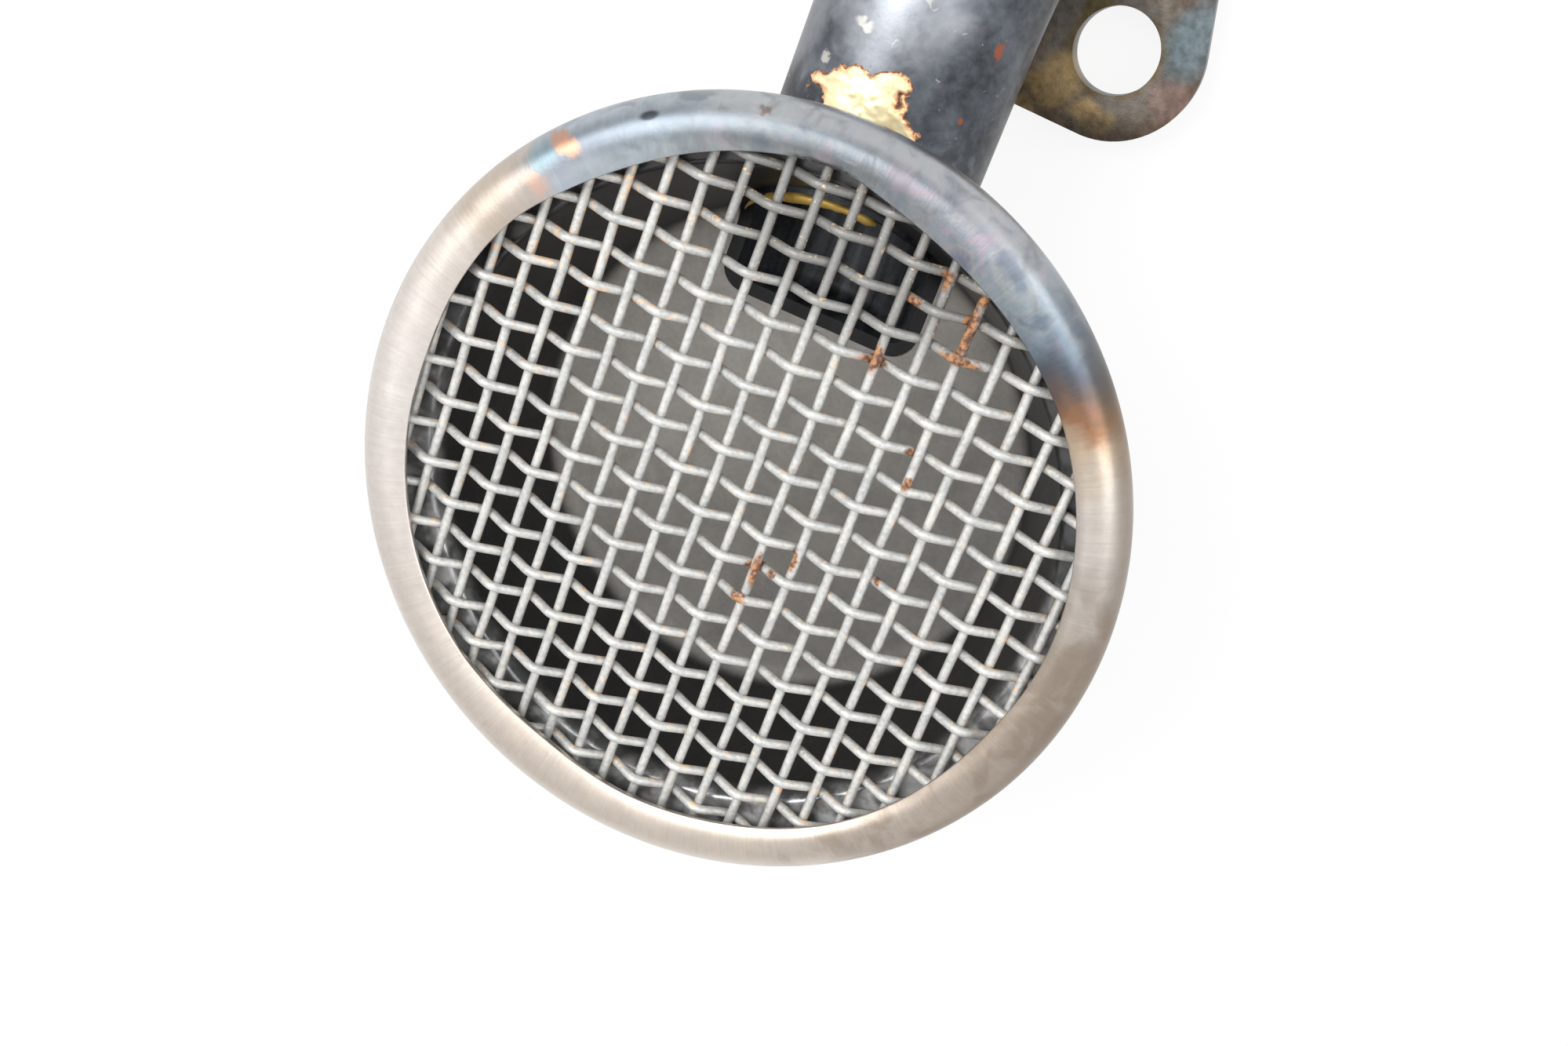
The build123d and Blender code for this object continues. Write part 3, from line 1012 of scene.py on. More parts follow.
@dataclass
class PickupTube:
    """The bent tube with its closed end, cut away inside the cup."""

    radius: float
    height: float
    end: float
    bend: float = 16.0 * MM
    wall: float = 1.2 * MM
    end_round: float = 2.5 * MM
    sides: int = 128
    stub_steps: int = 4
    bend_steps: int = 28
    ring_step: float = 1.2 * MM
    end_steps: int = 8
    end_rings: tuple[float, ...] = (0.7, 0.4, 0.12)
    cut_clearance: float = 0.05 * MM
    proud: float = 0.5 * MM
    end_trim: float = 0.5 * MM
    smooth_below: float = 35.0

    @classmethod
    def from_frame(cls) -> "PickupTube":
        """Takes the tube's main sizes from its node.

        Returns:
            The tube.
        """
        low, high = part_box("pickup_tube")
        radius = (high.x - low.x) / 2
        return cls(radius=radius, height=high.z - radius, end=low.y + cls.end_trim)

    def outline(self, name: str, growth: float, closed: bool) -> bpy.types.Object:
        """Makes the outer surface from the outlet to the closed end.

        Args:
            name: The shell's name.
            growth: How far it lies outside the tube's own surface.
            closed: Whether the outlet is filled too, for a cutter.

        Returns:
            The shell, with its faces outwards.
        """
        radius = self.radius + growth
        corner = self.end_round + growth
        start = self.height - self.bend
        clear_selection()
        bpy.ops.mesh.primitive_circle_add(vertices=self.sides, radius=radius, location=(0, 0, -growth))
        piece = settle(name)
        with editing(piece):
            bpy.ops.mesh.select_all(action="SELECT")
            if closed:
                bpy.ops.mesh.edge_face_add()
                bpy.ops.mesh.select_all(action="SELECT")
            self._raise_to(start + growth)
            bpy.ops.mesh.spin(
                steps=self.bend_steps, angle=-math.pi / 2, center=(0, -self.bend, start), axis=(1, 0, 0)
            )
            straight = -self.end + growth - corner - self.bend
            rings = round(straight / self.ring_step)
            for _ in range(rings):
                self._push(straight / rings)
            here = radius
            gone = 0.0
            for step in range(1, self.end_steps + 1):
                angle = step / self.end_steps * math.pi / 2
                there = radius - corner * (1 - math.cos(angle))
                self._push(corner * math.sin(angle) - gone)
                gone = corner * math.sin(angle)
                self._narrow(there / here)
                here = there
            for share in self.end_rings:
                self._push(0.0)
                self._narrow(share * (radius - corner) / here)
                here = share * (radius - corner)
            bpy.ops.mesh.edge_face_add()
        tidy_faces(piece)
        return piece

    def _raise_to(self, rise: float) -> None:
        """Extrudes the selected ring upwards in a few steps."""
        for _ in range(self.stub_steps):
            bpy.ops.mesh.extrude_region_move(TRANSFORM_OT_translate={"value": (0, 0, rise / self.stub_steps)})

    def _push(self, distance: float) -> None:
        """Extrudes the selected ring towards the closed end."""
        bpy.ops.mesh.extrude_region_move(TRANSFORM_OT_translate={"value": (0, -distance, 0)})

    def _narrow(self, factor: float) -> None:
        """Scales the selected ring about the tube's line."""
        bpy.ops.transform.resize(value=(factor, 1, factor), center_override=(0, 0, self.height))

    def build(self, cup: "StrainerCup") -> bpy.types.Object:
        """Makes the walled tube and cuts it away inside the cup.

        Args:
            cup: The cup.

        Returns:
            The finished tube.
        """
        piece = self.outline("pickup_tube_visual", 0.0, False)
        materials = (
            TubeFinish().material(),
            SootFinish("tube_bore", paint(34, 35, 37), paint(92, 95, 100)).material(),
            # The cut edge at the tube's mouth: soot, and near-black partly as painted shade under the cup's floor.
            SootFinish("tube_cut_soot_and_shade", paint(12, 12, 13), paint(30, 30, 32)).material(),
        )
        lay_on(piece, materials)
        thicken(piece, self.wall, Side.DRAWN)
        cutter = cup.core("tube_cutter", -self.proud, self.cut_clearance)
        lay_on(cutter, materials)
        cutter.data.polygons.foreach_set("material_index", [Side.CUT.value] * len(cutter.data.polygons))
        carve(piece, cutter)
        tidy_faces(piece)
        smooth(piece, self.smooth_below)
        hand_over(piece, Slot.TUBE, materials, "pickup_tube")
        return piece


@dataclass
class StrainerCup:
    """The pressed cup whose lip is rolled in over the screen."""

    axis: tuple[float, float]
    rim: float
    floor: float
    screen: float
    screen_half: float
    sheet: float = 0.92 * MM
    floor_radius: float = 24.0 * MM
    shoulder_radius: float = 29.2 * MM
    floor_round: float = 2.5 * MM
    shoulder_round: float = 0.6 * MM
    ledge_round: float = 0.5 * MM
    lip_outer_rise: float = -0.05 * MM
    lip_outer_round: float = 1.9 * MM
    crown_inset: float = 2.4 * MM
    crown_rise: float = 0.48 * MM
    crown_round: float = 2.6 * MM
    edge_radius: float = 30.6 * MM
    edge_rise: float = 0.04 * MM
    edge_bevel: float = 0.16 * MM
    edge_segments: int = 3
    edge_zone: float = 1.5 * MM
    edge_facing: float = 0.6
    edge_slope: float = 0.3 * MM
    screen_play: float = 0.05 * MM
    sides: int = 288
    round_steps: int = 7
    ring_step: float = 1.5 * MM
    hole_clearance: float = 0.06 * MM
    smooth_below: float = 40.0
    lip_edge: tuple[tuple[float, float], ...] = (
        (3, 31.2), (20, 31.35), (38, 31.25), (47, 30.9), (61, 30.4), (73, 30.3), (82, 30.7), (93, 31.8),
        (101.5, 31.2), (115, 30.5), (126, 30.1), (137, 30.15), (148, 30.55), (162, 30.3), (177, 29.95),
        (189, 30.2), (202, 30.4), (217, 30.6), (233, 30.5), (240, 30.2), (254, 29.8), (263, 30.0),
        (272, 30.3), (290, 30.5), (309, 30.9), (323, 30.8), (332, 30.6), (345, 30.55),
    )

    @classmethod
    def from_frame(cls) -> "StrainerCup":
        """Takes the cup's main sizes from its node and the wires'.

        Returns:
            The cup.
        """
        low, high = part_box("strainer_cup")
        middle = (low + high) / 2
        wire_low, wire_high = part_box("weft_wire_11")
        return cls(
            axis=(middle.x, middle.y),
            rim=(high.x - low.x) / 2,
            floor=low.z + cls.sheet,
            screen=(wire_low.z + wire_high.z) / 2,
            screen_half=(wire_high.z - wire_low.z) / 2 + cls.screen_play,
        )

    @property
    def middle(self) -> Vector:
        """The screen's middle."""
        return Vector((*self.axis, self.screen))

    @property
    def depth(self) -> float:
        """From the screen's middle down to the floor."""
        return self.screen - self.floor

    def off(self, place: Vector) -> Vector:
        """How far a place lies from the cup's axis, and which way."""
        return Vector((place.x - self.axis[0], place.y - self.axis[1]))

    def edge_at(self, degrees: float) -> float:
        """Reads the lip's inner edge on a smooth line through the measured places.

        Args:
            degrees: The angle round the cup, from 0 to 360.

        Returns:
            The edge's radius there.
        """
        places = [(angle + turn, radius * MM) for turn in (-360, 0, 360) for angle, radius in self.lip_edge]
        for before, (start, first), (end, second), after in zip(places, places[1:], places[2:], places[3:]):
            if start <= degrees < end:
                break
        span = end - start
        share = (degrees - start) / span
        rise = (second - before[1]) / (end - before[0])
        fall = (after[1] - first) / (after[0] - start)
        return (
            first * (1 + 2 * share) * (1 - share) ** 2
            + second * share**2 * (3 - 2 * share)
            + span * rise * share * (1 - share) ** 2
            - span * fall * share**2 * (1 - share)
        )

    def core(self, name: str, growth: float, drop: float) -> bpy.types.Object:
        """Makes the space inside the cup as a closed form.

        Args:
            name: The form's name.
            growth: How far it lies outside the cone.
            drop: How far it lies below the floor.

        Returns:
            The form.
        """
        shoulder = self.screen - self.screen_half
        corners = [
            (self.shoulder_radius + growth, shoulder, 0),
            (self.floor_radius + growth, self.floor - drop, self.floor_round),
            (POLE, self.floor - drop, 0),
        ]
        section = spread(rounded(corners, self.round_steps), self.ring_step)
        return lathe(name, section, self.axis, self.sides, closed=True)

    def section(self) -> Section:
        """Draws the sheet's inner line.

        Returns:
            Its points, from the lip's edge over the crown and down to the floor.
        """
        wall = self.rim - self.sheet
        ledge = self.screen - self.screen_half
        top = self.screen + self.screen_half
        corners = [
            (self.edge_radius, top + self.edge_rise, 0),
            (wall - self.crown_inset, top + self.crown_rise, self.crown_round),
            (wall, top + self.lip_outer_rise, self.lip_outer_round),
            (wall, ledge, self.ledge_round),
            (self.shoulder_radius, ledge, self.shoulder_round),
            (self.floor_radius, self.floor, self.floor_round),
            (POLE, self.floor, 0),
        ]
        return spread(rounded(corners, self.round_steps), self.ring_step)

    def build(self, tube: PickupTube) -> bpy.types.Object:
        """Turns the sheet, moves its lip to the uneven edge, thickens it and cuts the tube's hole.

        Args:
            tube: The tube.

        Returns:
            The finished cup.
        """
        piece = lathe("strainer_cup_visual", self.section(), self.axis, self.sides)
        self._roll_edge(piece)
        face_up_at(piece, self.floor)
        outer = RimFinish(self.middle).material()
        inner = BowlFinish(self.middle, self.depth).material()
        lay_on(piece, (inner, outer))
        thicken(piece, self.sheet, Side.OFFSET)
        self._break_edge(piece)
        carve(piece, tube.outline("cup_cutter", self.hole_clearance, True))
        tidy_faces(piece)
        smooth(piece, self.smooth_below)
        hand_over(piece, Slot.CUP, (inner, outer), "strainer_cup")
        return piece

    def _roll_edge(self, piece: bpy.types.Object) -> None:
        """Moves the lip's points between the crown and the edge, as the hand-worked edge runs.

        Args:
            piece: The sheet.
        """
        crown = self.rim - self.sheet - self.crown_inset
        for point in piece.data.vertices:
            off = self.off(point.co)
            if point.co.z < self.screen or off.length > crown:
                continue
            edge = self.edge_at(math.degrees(math.atan2(off.y, off.x)) % 360)
            share = (crown - off.length) / (crown - self.edge_radius)
            wanted = off.normalized() * (crown - share * (crown - edge))
            point.co.x = self.axis[0] + wanted.x
            point.co.y = self.axis[1] + wanted.y

    def _break_edge(self, piece: bpy.types.Object) -> None:
        """Rounds the two sharp edges of the lip's inner face a little.

        Args:
            piece: The thickened sheet.
        """
        with editing(piece):
            bpy.ops.mesh.select_all(action="DESELECT")
        sharp = set()
        for face in piece.data.polygons:
            off = self.off(face.center)
            if face.center.z > self.screen and off.length < self.edge_radius + self.edge_zone:
                if face.normal.xy.dot(off) < -self.edge_facing * off.length:
                    sharp.update(self._level_edges(piece, face))
        for index in sharp:
            piece.data.edges[index].select = True
        with editing(piece):
            bpy.ops.mesh.select_mode(type="EDGE")
            bpy.ops.mesh.bevel(offset=self.edge_bevel, segments=self.edge_segments, affect="EDGES")

    def _level_edges(self, piece: bpy.types.Object, face: bpy.types.MeshPolygon) -> list[int]:
        """Finds the edges of a face that run round the lip, not across the sheet.

        Args:
            piece: The thickened sheet.
            face: A face of the lip's inner edge.

        Returns:
            The numbers of those edges.
        """
        result = []
        for loop in face.loop_indices:
            edge = piece.data.edges[piece.data.loops[loop].edge_index]
            start, end = (piece.data.vertices[index].co for index in edge.vertices)
            if abs(start.z - end.z) < self.edge_slope:
                result.append(edge.index)
        return result


@dataclass
class MountingFlange:
    """The two-bolt plate: a round body drawn out to two ears."""

    thickness: float
    tube_radius: float
    body_radius: float = 20.0 * MM
    ear_radius: float = 8.5 * MM
    bolt_spacing: float = 39.0 * MM
    hole_radius: float = 4.2 * MM
    line_angle: float = math.radians(-38.8)
    edge_bevel: float = 0.55 * MM
    bevel_segments: int = 4
    bevel_over: float = 60.0
    flat_below: float = 0.5
    body_sides: int = 160
    hole_sides: int = 72
    overshoot: float = 3.0 * MM
    smooth_below: float = 40.0

    @classmethod
    def from_frame(cls, tube: PickupTube) -> "MountingFlange":
        """Takes the plate's thickness from its node."""
        low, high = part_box("mounting_flange")
        return cls(thickness=high.z - low.z, tube_radius=tube.radius)

    @property
    def bolts(self) -> list[Vector]:
        """Places the two bolt holes.

        Returns:
            Their middles on the mating face.
        """
        reach = self.bolt_spacing / 2
        away = Vector((math.cos(self.line_angle), math.sin(self.line_angle), 0)) * reach
        return [-away, away]

    def _disc(self, name: str, radius: float, middle: Vector, sides: int, extra: float = 0.0) -> bpy.types.Object:
        """Makes a round block through the plate.

        Args:
            name: The block's name.
            radius: Its radius.
            middle: Its middle on the mating face.
            sides: Its sides.
            extra: How far it stands out at each side of the plate, for a cutter.

        Returns:
            The block.
        """
        clear_selection()
        bpy.ops.mesh.primitive_cylinder_add(
            vertices=sides,
            radius=radius,
            depth=self.thickness + 2 * extra,
            location=middle + Vector((0, 0, self.thickness / 2)),
        )
        return settle(name)

    def build(self) -> bpy.types.Object:
        """Wraps the body and its ears in one outline, drills the holes and breaks the edges.

        Returns:
            The finished plate.
        """
        body = self._disc("mounting_flange_visual", self.body_radius, Vector(), self.body_sides)
        ears = [self._disc("ear", self.ear_radius, middle, self.hole_sides) for middle in self.bolts]
        pick(body)
        for ear in ears:
            ear.select_set(True)
        bpy.ops.object.join()
        with editing(body):
            bpy.ops.mesh.select_all(action="SELECT")
            bpy.ops.mesh.convex_hull()
            bpy.ops.mesh.select_all(action="SELECT")
            bpy.ops.mesh.dissolve_limited(angle_limit=math.radians(self.flat_below))
        for middle in self.bolts:
            carve(body, self._disc("drill", self.hole_radius, middle, self.hole_sides, self.overshoot))
        carve(body, self._disc("bore", self.tube_radius, Vector(), self.body_sides, self.overshoot))
        tidy_faces(body)
        apply_modifier(
            body,
            "BEVEL",
            width=self.edge_bevel,
            segments=self.bevel_segments,
            limit_method="ANGLE",
            angle_limit=math.radians(self.bevel_over),
            harden_normals=False,
        )
        smooth(body, self.smooth_below)
        material = FlangeFinish(self.bolts[1]).material()
        hand_over(body, Slot.FLANGE, (material,), "mounting_flange")
        return body


@dataclass(frozen=True)
class Bead:
    """A run of brass: its radius, the share and length of its swells, the depth and grain of its skin."""

    radius: float
    swell: float
    swell_length: float
    rough: float
    grain: float
    sides: int

    def run(
        self, name: str, line: Sequence[Vector], shares: Sequence[float] | None = None, ring: bool = False
    ) -> bpy.types.Object:
        """Lays the bead along a line and roughens it, as metal that froze while it ran.

        Args:
            name: The piece's name.
            line: The bead's middle line.
            shares: How much of its radius the bead has at each point, all of it where none are given.
            ring: Whether the bead closes on itself.

        Returns:
            The bead.
        """
        swells = [1 + self.swell * noise.noise(point / self.swell_length) for point in line]
        radii = [self.radius * share * swell for share, swell in zip(shares or [1.0] * len(line), swells)]
        piece = rod(name, line, radii, self.sides, ring)
        for point in piece.data.vertices:
            point.co += point.normal * self.rough * noise.noise(point.co / self.grain)
        return piece


@dataclass
class Braze:
    """All the brass: the bead outside the cup, the arc inside it, the spill on the tube and the flange's ring."""

    cup: StrainerCup
    tube: PickupTube
    flange: MountingFlange
    smooth_below: float = 60.0
    bead: Bead = Bead(1.05 * MM, 0.35, 3.5 * MM, 0.16 * MM, 1.6 * MM, 16)
    bead_stand: float = 0.5 * MM
    bead_lift: float = 0.35 * MM
    bead_overlap: float = 1.5 * MM
    bead_step: float = 1.2 * MM
    bead_angles: tuple[int, int, int] = (172, 8, -4)
    bead_corner_steps: int = 6
    bead_softenings: int = 3
    arc: Bead = Bead(1.0 * MM, 0.5, 1.2 * MM, 0.1 * MM, 0.9 * MM, 10)
    arc_proud: float = 0.75 * MM
    arc_drop: float = 0.5 * MM
    arc_angles: tuple[int, int, int] = (66, 166, 2)
    arc_body: tuple[int, int, int, int] = (64, 70, 118, 146)
    arc_tail: tuple[int, int, int, int] = (128, 140, 150, 162)
    arc_tail_share: float = 0.35
    arc_thin: float = 0.08
    arc_thick: float = 0.38
    ring: Bead = Bead(0.9 * MM, 0.25, 3.0 * MM, 0.1 * MM, 1.4 * MM, 14)
    ring_lift: float = 0.15 * MM
    ring_steps: int = 120
    spill_low: tuple[float, float] = (-7.2, 31.0)
    spill_high: tuple[float, float] = (5.8, 39.2)
    spill_height: float = 0.3 * MM
    spill_bank: float = 0.55
    spill_fall: float = 0.6
    spill_thin: float = 0.9
    spill_margin: float = 0.3
    spill_waver: tuple[tuple[float, float], ...] = ((0.28, 1.1), (0.12, 3.3))
    spill_aside: float = 9.0
    spill_swell: tuple[tuple[float, float], ...] = ((0.5, 0.55), (0.16, 1.7))
    spill_step: float = 0.09 * MM
    spill_sink: float = 0.12 * MM
    spill_edge: tuple[tuple[float, float], ...] = (
        (-4.2, 30.0), (-4.1, 33.7), (-4.6, 34.7), (-5.1, 35.0), (-5.6, 34.9), (-6.4, 35.5), (-6.3, 35.75),
        (-5.45, 36.0), (-4.65, 36.2), (-4.2, 36.8), (-3.8, 37.4), (-3.0, 37.6), (-2.4, 37.9), (-1.7, 37.8),
        (-1.0, 37.5), (-0.5, 38.0), (0.5, 38.5), (1.2, 38.7), (1.9, 38.5), (2.5, 38.2), (2.7, 37.9),
        (2.7, 37.2), (2.9, 36.4), (2.9, 35.5), (3.5, 35.3), (3.7, 34.8), (4.3, 34.2), (4.6, 33.5), (5.0, 30.0),
    )
    spill_drops: tuple[tuple[float, float, float], ...] = ((4.5, 34.25, 0.3), (5.0, 33.45, 0.2), (-6.15, 34.5, 0.16))
    spill_slit: tuple[tuple[float, float], tuple[float, float], float] = ((2.1, 36.95), (2.25, 36.0), 0.13)

    def build(self) -> list[bpy.types.Object]:
        """Makes the four pieces of brass.

        Returns:
            The pieces.
        """
        pale = BrassFinish("braze_brass").material()
        deep = BrassFinish("inner_brass", paint(214, 178, 92), paint(170, 130, 58), paint(190, 140, 70)).material()
        pieces = [self._outside_bead(), self._inside_arc(), self._spill(), self._flange_ring()]
        nodes = ("cup_braze", "cup_braze", "cup_braze", "flange_braze")
        for piece, brass, node in zip(pieces, (pale, deep, pale, pale), nodes):
            smooth(piece, self.smooth_below)
            hand_over(piece, Slot.BRASS, (brass,), node)
        return pieces

    def _cone_radius(self, height: float, out: float) -> float:
        """Works out the cone's radius.

        Args:
            height: The height.
            out: The distance out from the cone's inner surface.

        Returns:
            The radius there.
        """
        cup = self.cup
        shoulder = cup.screen - cup.screen_half
        slope = (cup.shoulder_radius - cup.floor_radius) / (shoulder - cup.floor)
        return cup.floor_radius + (height - cup.floor) * slope + out * math.hypot(1, slope)

    def _joint(self, degrees: float, out: float, lift: float = 0.0) -> Vector:
        """Finds a point of the line where tube and cone meet.

        Args:
            degrees: The angle round the tube, from +X.
            out: The distance out from the cone's inner surface.
            lift: The distance out from the tube's surface.

        Returns:
            The point.
        """
        angle = math.radians(degrees)
        across = (self.tube.radius + lift) * math.cos(angle)
        height = self.tube.height + (self.tube.radius + lift) * math.sin(angle)
        reach = self._cone_radius(height, out)
        along = self.cup.axis[1] + math.sqrt(reach**2 - (across - self.cup.axis[0]) ** 2)
        return Vector((across, along, height))

    def _outside_bead(self) -> bpy.types.Object:
        """Lays the bead over the tube on the cone, then along the floor and round the closed end.

        Returns:
            The bead.
        """
        tube = self.tube
        out = self.cup.sheet + self.bead_stand
        under = self.cup.floor - out
        side = tube.radius + self.bead_lift
        end = tube.end - self.bead_lift
        corner = tube.end_round + self.bead_lift
        first, last, step = self.bead_angles
        arch = [self._joint(degrees, out, self.bead_lift) for degrees in range(first, last - 1, step)]
        starts = [self._joint(degrees, out, self.bead_lift).y - self.bead_overlap for degrees in (last, first)]
        corners = [(side, starts[0], 0), (side, end, corner), (-side, end, corner), (-side, starts[1], 0)]
        plan = spread(rounded(corners, self.bead_corner_steps), self.bead_step)
        line = arch + [Vector((across, along, under)) for across, along in plan]
        for _ in range(self.bead_softenings):
            after = line[1:] + line[:1]
            line = [(line[index - 1] + point * 2 + after[index]) / 4 for index, point in enumerate(line)]
        return self.bead.run("cup_braze_bead", line, ring=True)

    def _inside_arc(self) -> bpy.types.Object:
        """Lays the thin line of brass that shows inside the cup, over the tube's mouth.

        Returns:
            The line of brass.
        """
        first, last, step = self.arc_angles
        line = []
        shares = []
        for degrees in range(first, last + 1, step):
            body = hump(degrees, *self.arc_body)
            tail = hump(degrees, *self.arc_tail) * self.arc_tail_share
            line.append(self._joint(degrees, -self.arc_proud, -self.arc_drop))
            shares.append(self.arc_thin + self.arc_thick * max(body, tail))
        return self.arc.run("cup_braze_inside", line, shares)

    def _spill_depth(self, across: float, along: float) -> float:
        """Measures how far a place on the tube lies inside the spill's ragged edge, all in millimetres.

        Args:
            across: The place's distance across the tube.
            along: Its distance from the cup's axis towards the flange.

        Returns:
            The depth, below 0 outside the edge.
        """
        here = Vector((across, along, 0))
        across += ripple(here, self.spill_waver)
        along += ripple(here, self.spill_waver, self.spill_aside)
        inside = False
        nearest = math.inf
        edge = self.spill_edge
        for start, end in zip(edge, edge[1:] + edge[:1]):
            if (start[1] > along) != (end[1] > along):
                if across < (end[0] - start[0]) * (along - start[1]) / (end[1] - start[1]) + start[0]:
                    inside = not inside
            nearest = min(nearest, self._to_stretch(across, along, start, end))
        depth = nearest if inside else -nearest
        start, end, width = self.spill_slit
        depth = min(depth, self._to_stretch(across, along, start, end) - width)
        for middle, distance, radius in self.spill_drops:
            depth = max(depth, radius - math.hypot(across - middle, along - distance))
        return depth

    @staticmethod
    def _to_stretch(across: float, along: float, start: tuple[float, float], end: tuple[float, float]) -> float:
        """Measures from a place to a straight stretch.

        Args:
            across: The place's distance across.
            along: Its distance along.
            start: The stretch's start.
            end: Its end.

        Returns:
            The distance to the stretch's nearest point.
        """
        stretch = Vector((end[0] - start[0], end[1] - start[1]))
        share = Vector((across - start[0], along - start[1])).dot(stretch) / max(stretch.length_squared, 1e-9)
        share = min(max(share, 0.0), 1.0)
        return math.hypot(across - start[0] - stretch.x * share, along - start[1] - stretch.y * share)

    def _spill(self) -> bpy.types.Object:
        """Makes the brass that ran over the top of the tube: a fine grid laid on it and raised inside the edge.

        Returns:
            The spill.
        """
        low, high = self.spill_low, self.spill_high
        clear_selection()
        bpy.ops.mesh.primitive_grid_add(
            x_subdivisions=round((high[0] - low[0]) * MM / self.spill_step),
            y_subdivisions=round((high[1] - low[1]) * MM / self.spill_step),
            size=1,
        )
        piece = settle("cup_braze_spill")
        thin = piece.data.attributes.new("thin", "FLOAT", "POINT")
        depths = []
        for point in piece.data.vertices:
            across = blend(low[0], high[0], point.co.x + 0.5)
            along = blend(low[1], high[1], point.co.y + 0.5)
            depth = self._spill_depth(across, along)
            depths.append(depth)
            if depth > 0:
                bank = min(depth / self.spill_bank, 1.0)
                swell = 1 + ripple(Vector((across, along, 0)), self.spill_swell)
                rise = self.spill_height * math.sqrt(1 - (1 - bank) ** 2) * swell
            else:
                rise = max(depth * self.spill_fall * MM, -self.spill_sink)
            angle = math.asin(across * MM / self.tube.radius)
            reach = self.tube.radius + rise
            point.co.x = reach * math.sin(angle)
            point.co.y = self.cup.axis[1] + along * MM
            point.co.z = self.tube.height + reach * math.cos(angle)
            thin.data[point.index].value = 1 - ease(depth, 0.0, self.spill_thin)
        with editing(piece):
            bpy.ops.mesh.select_all(action="DESELECT")
            bpy.ops.mesh.select_mode(type="VERT")
        for point, depth in zip(piece.data.vertices, depths):
            point.select = depth < -self.spill_margin
        with editing(piece):
            bpy.ops.mesh.delete(type="VERT")
        tidy_faces(piece)
        apply_modifier(piece, "SOLIDIFY", thickness=self.spill_sink, offset=-1)
        return piece

    def _flange_ring(self) -> bpy.types.Object:
        """Lays the small bead where the tube stands on the flange.

        Returns:
            The bead.
        """
        reach = self.tube.radius + self.ring_lift
        angles = [math.tau * step / self.ring_steps for step in range(self.ring_steps)]
        line = [Vector((reach * math.cos(turn), reach * math.sin(turn), self.flange.thickness)) for turn in angles]
        return self.ring.run("flange_braze_visual", line, ring=True)


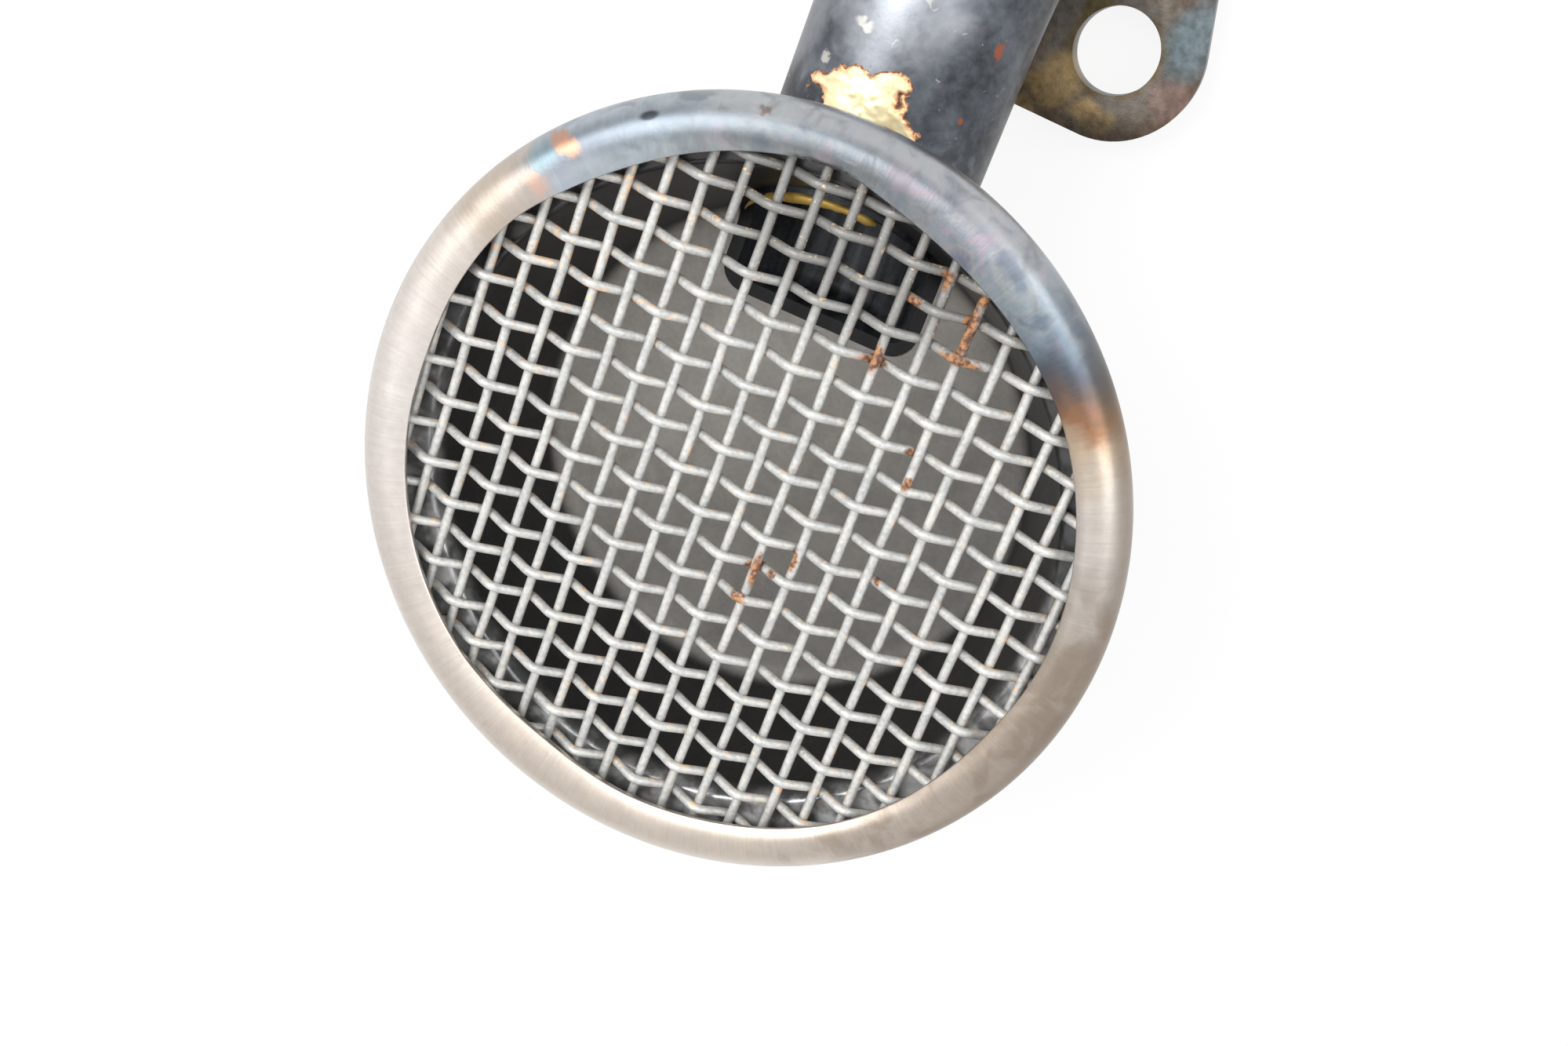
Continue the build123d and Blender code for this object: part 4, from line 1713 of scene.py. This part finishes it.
@dataclass
class WovenScreen:
    """The wire cloth: straight warp wires along the tube and crimped weft wires across it."""

    screen: float
    wire: float = 0.435 * MM
    crimp: float = 0.825 * MM
    skew: float = math.radians(1.5)
    photo_turn: float = math.radians(1.49)
    sides: int = 12
    warps: int = 20
    wefts: int = 22
    blank_half: float = 37.0 * MM
    warp_steps: int = 74
    crimp_steps: int = 9
    crest_point: float = 0.05
    shift: float = 0.06 * MM
    sway: float = 0.05 * MM
    sway_lengths: tuple[float, float] = (14.0, 26.0)
    seed: int = 8
    smooth_below: float = 50.0

    def build(self, cup: StrainerCup) -> list[bpy.types.Object]:
        """Makes one blank of each kind of wire and cuts every wire of the cloth from a copy.

        Args:
            cup: The cup.

        Returns:
            The finished wires.
        """
        random.seed(self.seed)
        material = WireFinish(cup.middle, self.photo_turn).material()
        pitch = (box_centre("warp_wire_20").x - box_centre("warp_wire_01").x) / (self.warps - 1)
        warp = self._warp_blank()
        weft = self._weft_blank(pitch)
        pieces = [self._warp(warp, number) for number in range(1, self.warps + 1)]
        pieces += [self._weft(weft, number) for number in range(1, self.wefts + 1)]
        for blank in (warp, weft):
            bpy.data.objects.remove(blank)
        for piece in pieces:
            smooth(piece, self.smooth_below)
            hand_over(piece, Slot.WIRE, (material,), piece.name.removesuffix("_visual"))
        return pieces

    def _warp_blank(self) -> bpy.types.Object:
        """A long straight wire through the screen's middle height, along Y."""
        return self._blank("warp_blank", [Vector((0, along, self.screen)) for along in self._places(self.warp_steps)])

    def _weft_blank(self, pitch: float) -> bpy.types.Object:
        """Makes a long crimped wire along X, with a crest over the origin.

        Args:
            pitch: The distance between warp wires.

        Returns:
            The blank.
        """
        line = []
        for along in self._places(2 * round(self.blank_half / pitch * self.crimp_steps)):
            phase = math.pi * along / pitch
            crest = (math.cos(phase) + self.crest_point * math.cos(3 * phase)) / (1 + self.crest_point)
            line.append(Vector((along, 0, self.screen + self.crimp * crest)))
        return self._blank("weft_blank", line)

    def _places(self, steps: int) -> list[float]:
        """Places along a blank, an equal step apart."""
        return [blend(-self.blank_half, self.blank_half, step / steps) for step in range(steps + 1)]

    def _blank(self, name: str, line: list[Vector]) -> bpy.types.Object:
        """A wire along a line."""
        return rod(name, line, [self.wire] * len(line), self.sides)

    def _copy(self, blank: bpy.types.Object, name: str) -> bpy.types.Object:
        """Copies a blank.

        Args:
            blank: The blank.
            name: The copy's name.

        Returns:
            The copy, with its own mesh.
        """
        pick(blank)
        bpy.ops.object.duplicate(linked=False)
        piece = bpy.context.active_object
        piece.name = name
        return piece

    def _crop(self, piece: bpy.types.Object, low: Vector, high: Vector) -> None:
        """Cuts a wire square at both ends.

        Args:
            piece: The wire.
            low: Where it is to begin.
            high: Where it is to end.
        """
        ahead = (high - low).normalized()
        for place, way in ((low, -ahead), (high, ahead)):
            with editing(piece):
                bpy.ops.mesh.select_all(action="SELECT")
                bpy.ops.mesh.bisect(plane_co=place, plane_no=way, use_fill=True, clear_outer=True)

    def _disturb(self, piece: bpy.types.Object, way: int) -> None:
        """Lets a wire wander a little to one side, as real cloth does.

        Args:
            piece: The wire.
            way: The number of the axis that it wanders along.
        """
        phase = random.uniform(0, math.tau)
        offset = random.uniform(-self.shift, self.shift)
        length = random.uniform(*self.sway_lengths) * MM
        for point in piece.data.vertices:
            point.co[way] += offset + self.sway * math.sin(phase + math.tau * point.co[1 - way] / length)

    def _warp(self, blank: bpy.types.Object, number: int) -> bpy.types.Object:
        """Makes one warp wire, where its node lies.

        Args:
            blank: The warp wires' blank.
            number: The wire's number.

        Returns:
            The wire.
        """
        node = f"warp_wire_{number:02d}"
        low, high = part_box(node)
        middle = (low + high) / 2
        piece = self._copy(blank, f"{node}_visual")
        for point in piece.data.vertices:
            point.co.x += middle.x
            point.co.y += middle.y
        self._crop(piece, Vector((middle.x, low.y, self.screen)), Vector((middle.x, high.y, self.screen)))
        self._disturb(piece, 0)
        return piece

    def _weft(self, blank: bpy.types.Object, number: int) -> bpy.types.Object:
        """Makes one weft wire, where its node lies, with its crests over every other warp wire.

        Args:
            blank: The weft wires' blank.
            number: The wire's number.

        Returns:
            The wire.
        """
        node = f"weft_wire_{number:02d}"
        low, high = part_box(node)
        middle = (low + high) / 2
        crest = box_centre("warp_wire_10" if number % 2 else "warp_wire_11").x
        piece = self._copy(blank, f"{node}_visual")
        slope = math.tan(self.skew)
        for point in piece.data.vertices:
            point.co.x += crest
            point.co.y += middle.y + (point.co.x - middle.x) * slope
        ends = [Vector((side, middle.y + (side - middle.x) * slope, self.screen)) for side in (low.x, high.x)]
        self._crop(piece, *ends)
        self._disturb(piece, 1)
        return piece


# Studio


@dataclass(frozen=True)
class Lamp:
    """A soft square lamp that looks at the cup."""

    name: str
    place: tuple[float, float, float]
    size: float
    power: float


@dataclass
class Studio:
    """Plain pale floor, soft light and the photograph's camera."""

    target: Vector
    place: tuple[float, float, float] = (28.745 * MM, -2.194 * MM, 174.238 * MM)
    right: tuple[float, float, float] = (0.89754, 0.34147, -0.27896)
    up: tuple[float, float, float] = (-0.41673, 0.86366, -0.28360)
    lens: float = 38.72
    sensor: float = 36.0
    clip: float = 5.0 * MM
    white: Colour = (1.0, 1.0, 1.0, 1.0)
    floor_paint: Colour = paint(236, 236, 236)
    floor_glow: float = 0.88
    floor_drop: float = 0.05 * MM
    floor_size: float = 6.0
    lamps: tuple[Lamp, ...] = (
        Lamp("key_lamp", (-0.35, 0.25, 0.75), 0.5, 6.0),
        Lamp("fill_lamp", (0.5, 0.35, 0.6), 0.6, 2.4),
    )
    light: float = 0.9

    def build(self) -> None:
        """Sets up the floor, world, lamps and camera."""
        self._floor()
        self._world()
        for lamp in self.lamps:
            self._lamp(lamp)
        self._camera()
        bpy.context.scene.view_settings.view_transform = "Standard"

    def _seen(self, graph: Graph) -> Flow:
        """Whether a ray looks at the background, straight or by a mirror or glass."""
        kinds = ("Is Camera Ray", "Is Glossy Ray", "Is Transmission Ray")
        return graph.most(*(graph.node("LightPath", output=kind) for kind in kinds))

    def _floor(self) -> None:
        """A pale floor that keeps the object's shadow and is otherwise white to the eye."""
        clear_selection()
        bpy.ops.mesh.primitive_plane_add(size=self.floor_size, location=(0, 0, -self.floor_drop))
        floor = settle("floor")
        material, graph = finish("studio_floor")
        matt = graph.node("BsdfDiffuse", None, {"Color": self.floor_paint})
        glow = graph.node("Emission", None, {"Color": self.white, "Strength": 1.0})
        share = self._seen(graph) * self.floor_glow
        graph.node_end("OutputMaterial", graph.node("MixShader", None, {0: share, 1: matt, 2: glow}))
        floor.data.materials.append(material)

    def _world(self) -> None:
        """An even white surround, softer as light than as background."""
        world = bpy.data.worlds.new("studio")
        bpy.context.scene.world = world
        graph = Graph(world)
        strength = self.light + self._seen(graph) * (1.0 - self.light)
        sky = graph.node("Background", None, {"Color": self.white, "Strength": strength})
        graph.node_end("OutputWorld", sky)

    def _lamp(self, lamp: Lamp) -> None:
        """Adds one lamp that faces the cup.

        Args:
            lamp: The lamp.
        """
        place = self.target + Vector(lamp.place)
        bpy.ops.object.light_add(type="AREA", location=place)
        light = bpy.context.active_object
        light.name = lamp.name
        light.rotation_euler = (self.target - place).to_track_quat("-Z", "Y").to_euler()
        light.data.size = lamp.size
        light.data.energy = lamp.power

    def _camera(self) -> None:
        """Places the camera where the photograph was taken from."""
        bpy.ops.object.camera_add()
        camera = bpy.context.active_object
        right = Vector(self.right).normalized()
        back = right.cross(Vector(self.up)).normalized()
        up = back.cross(right)
        turn = Matrix((right, up, back)).transposed().to_4x4()
        camera.matrix_world = Matrix.Translation(self.place) @ turn
        camera.data.lens = self.lens
        camera.data.sensor_width = self.sensor
        camera.data.clip_start = self.clip
        bpy.context.scene.camera = camera


def main() -> None:
    """Builds every piece around the frame and sets up the studio."""
    logging.basicConfig(level=logging.INFO, format="%(name)s %(message)s")
    cup = StrainerCup.from_frame()
    tube = PickupTube.from_frame()
    flange = MountingFlange.from_frame(tube)
    cup.build(tube)
    tube.build(cup)
    flange.build()
    Braze(cup, tube, flange).build()
    WovenScreen(cup.screen).build(cup)
    Studio(cup.middle).build()


if __name__ == "__main__":
    main()
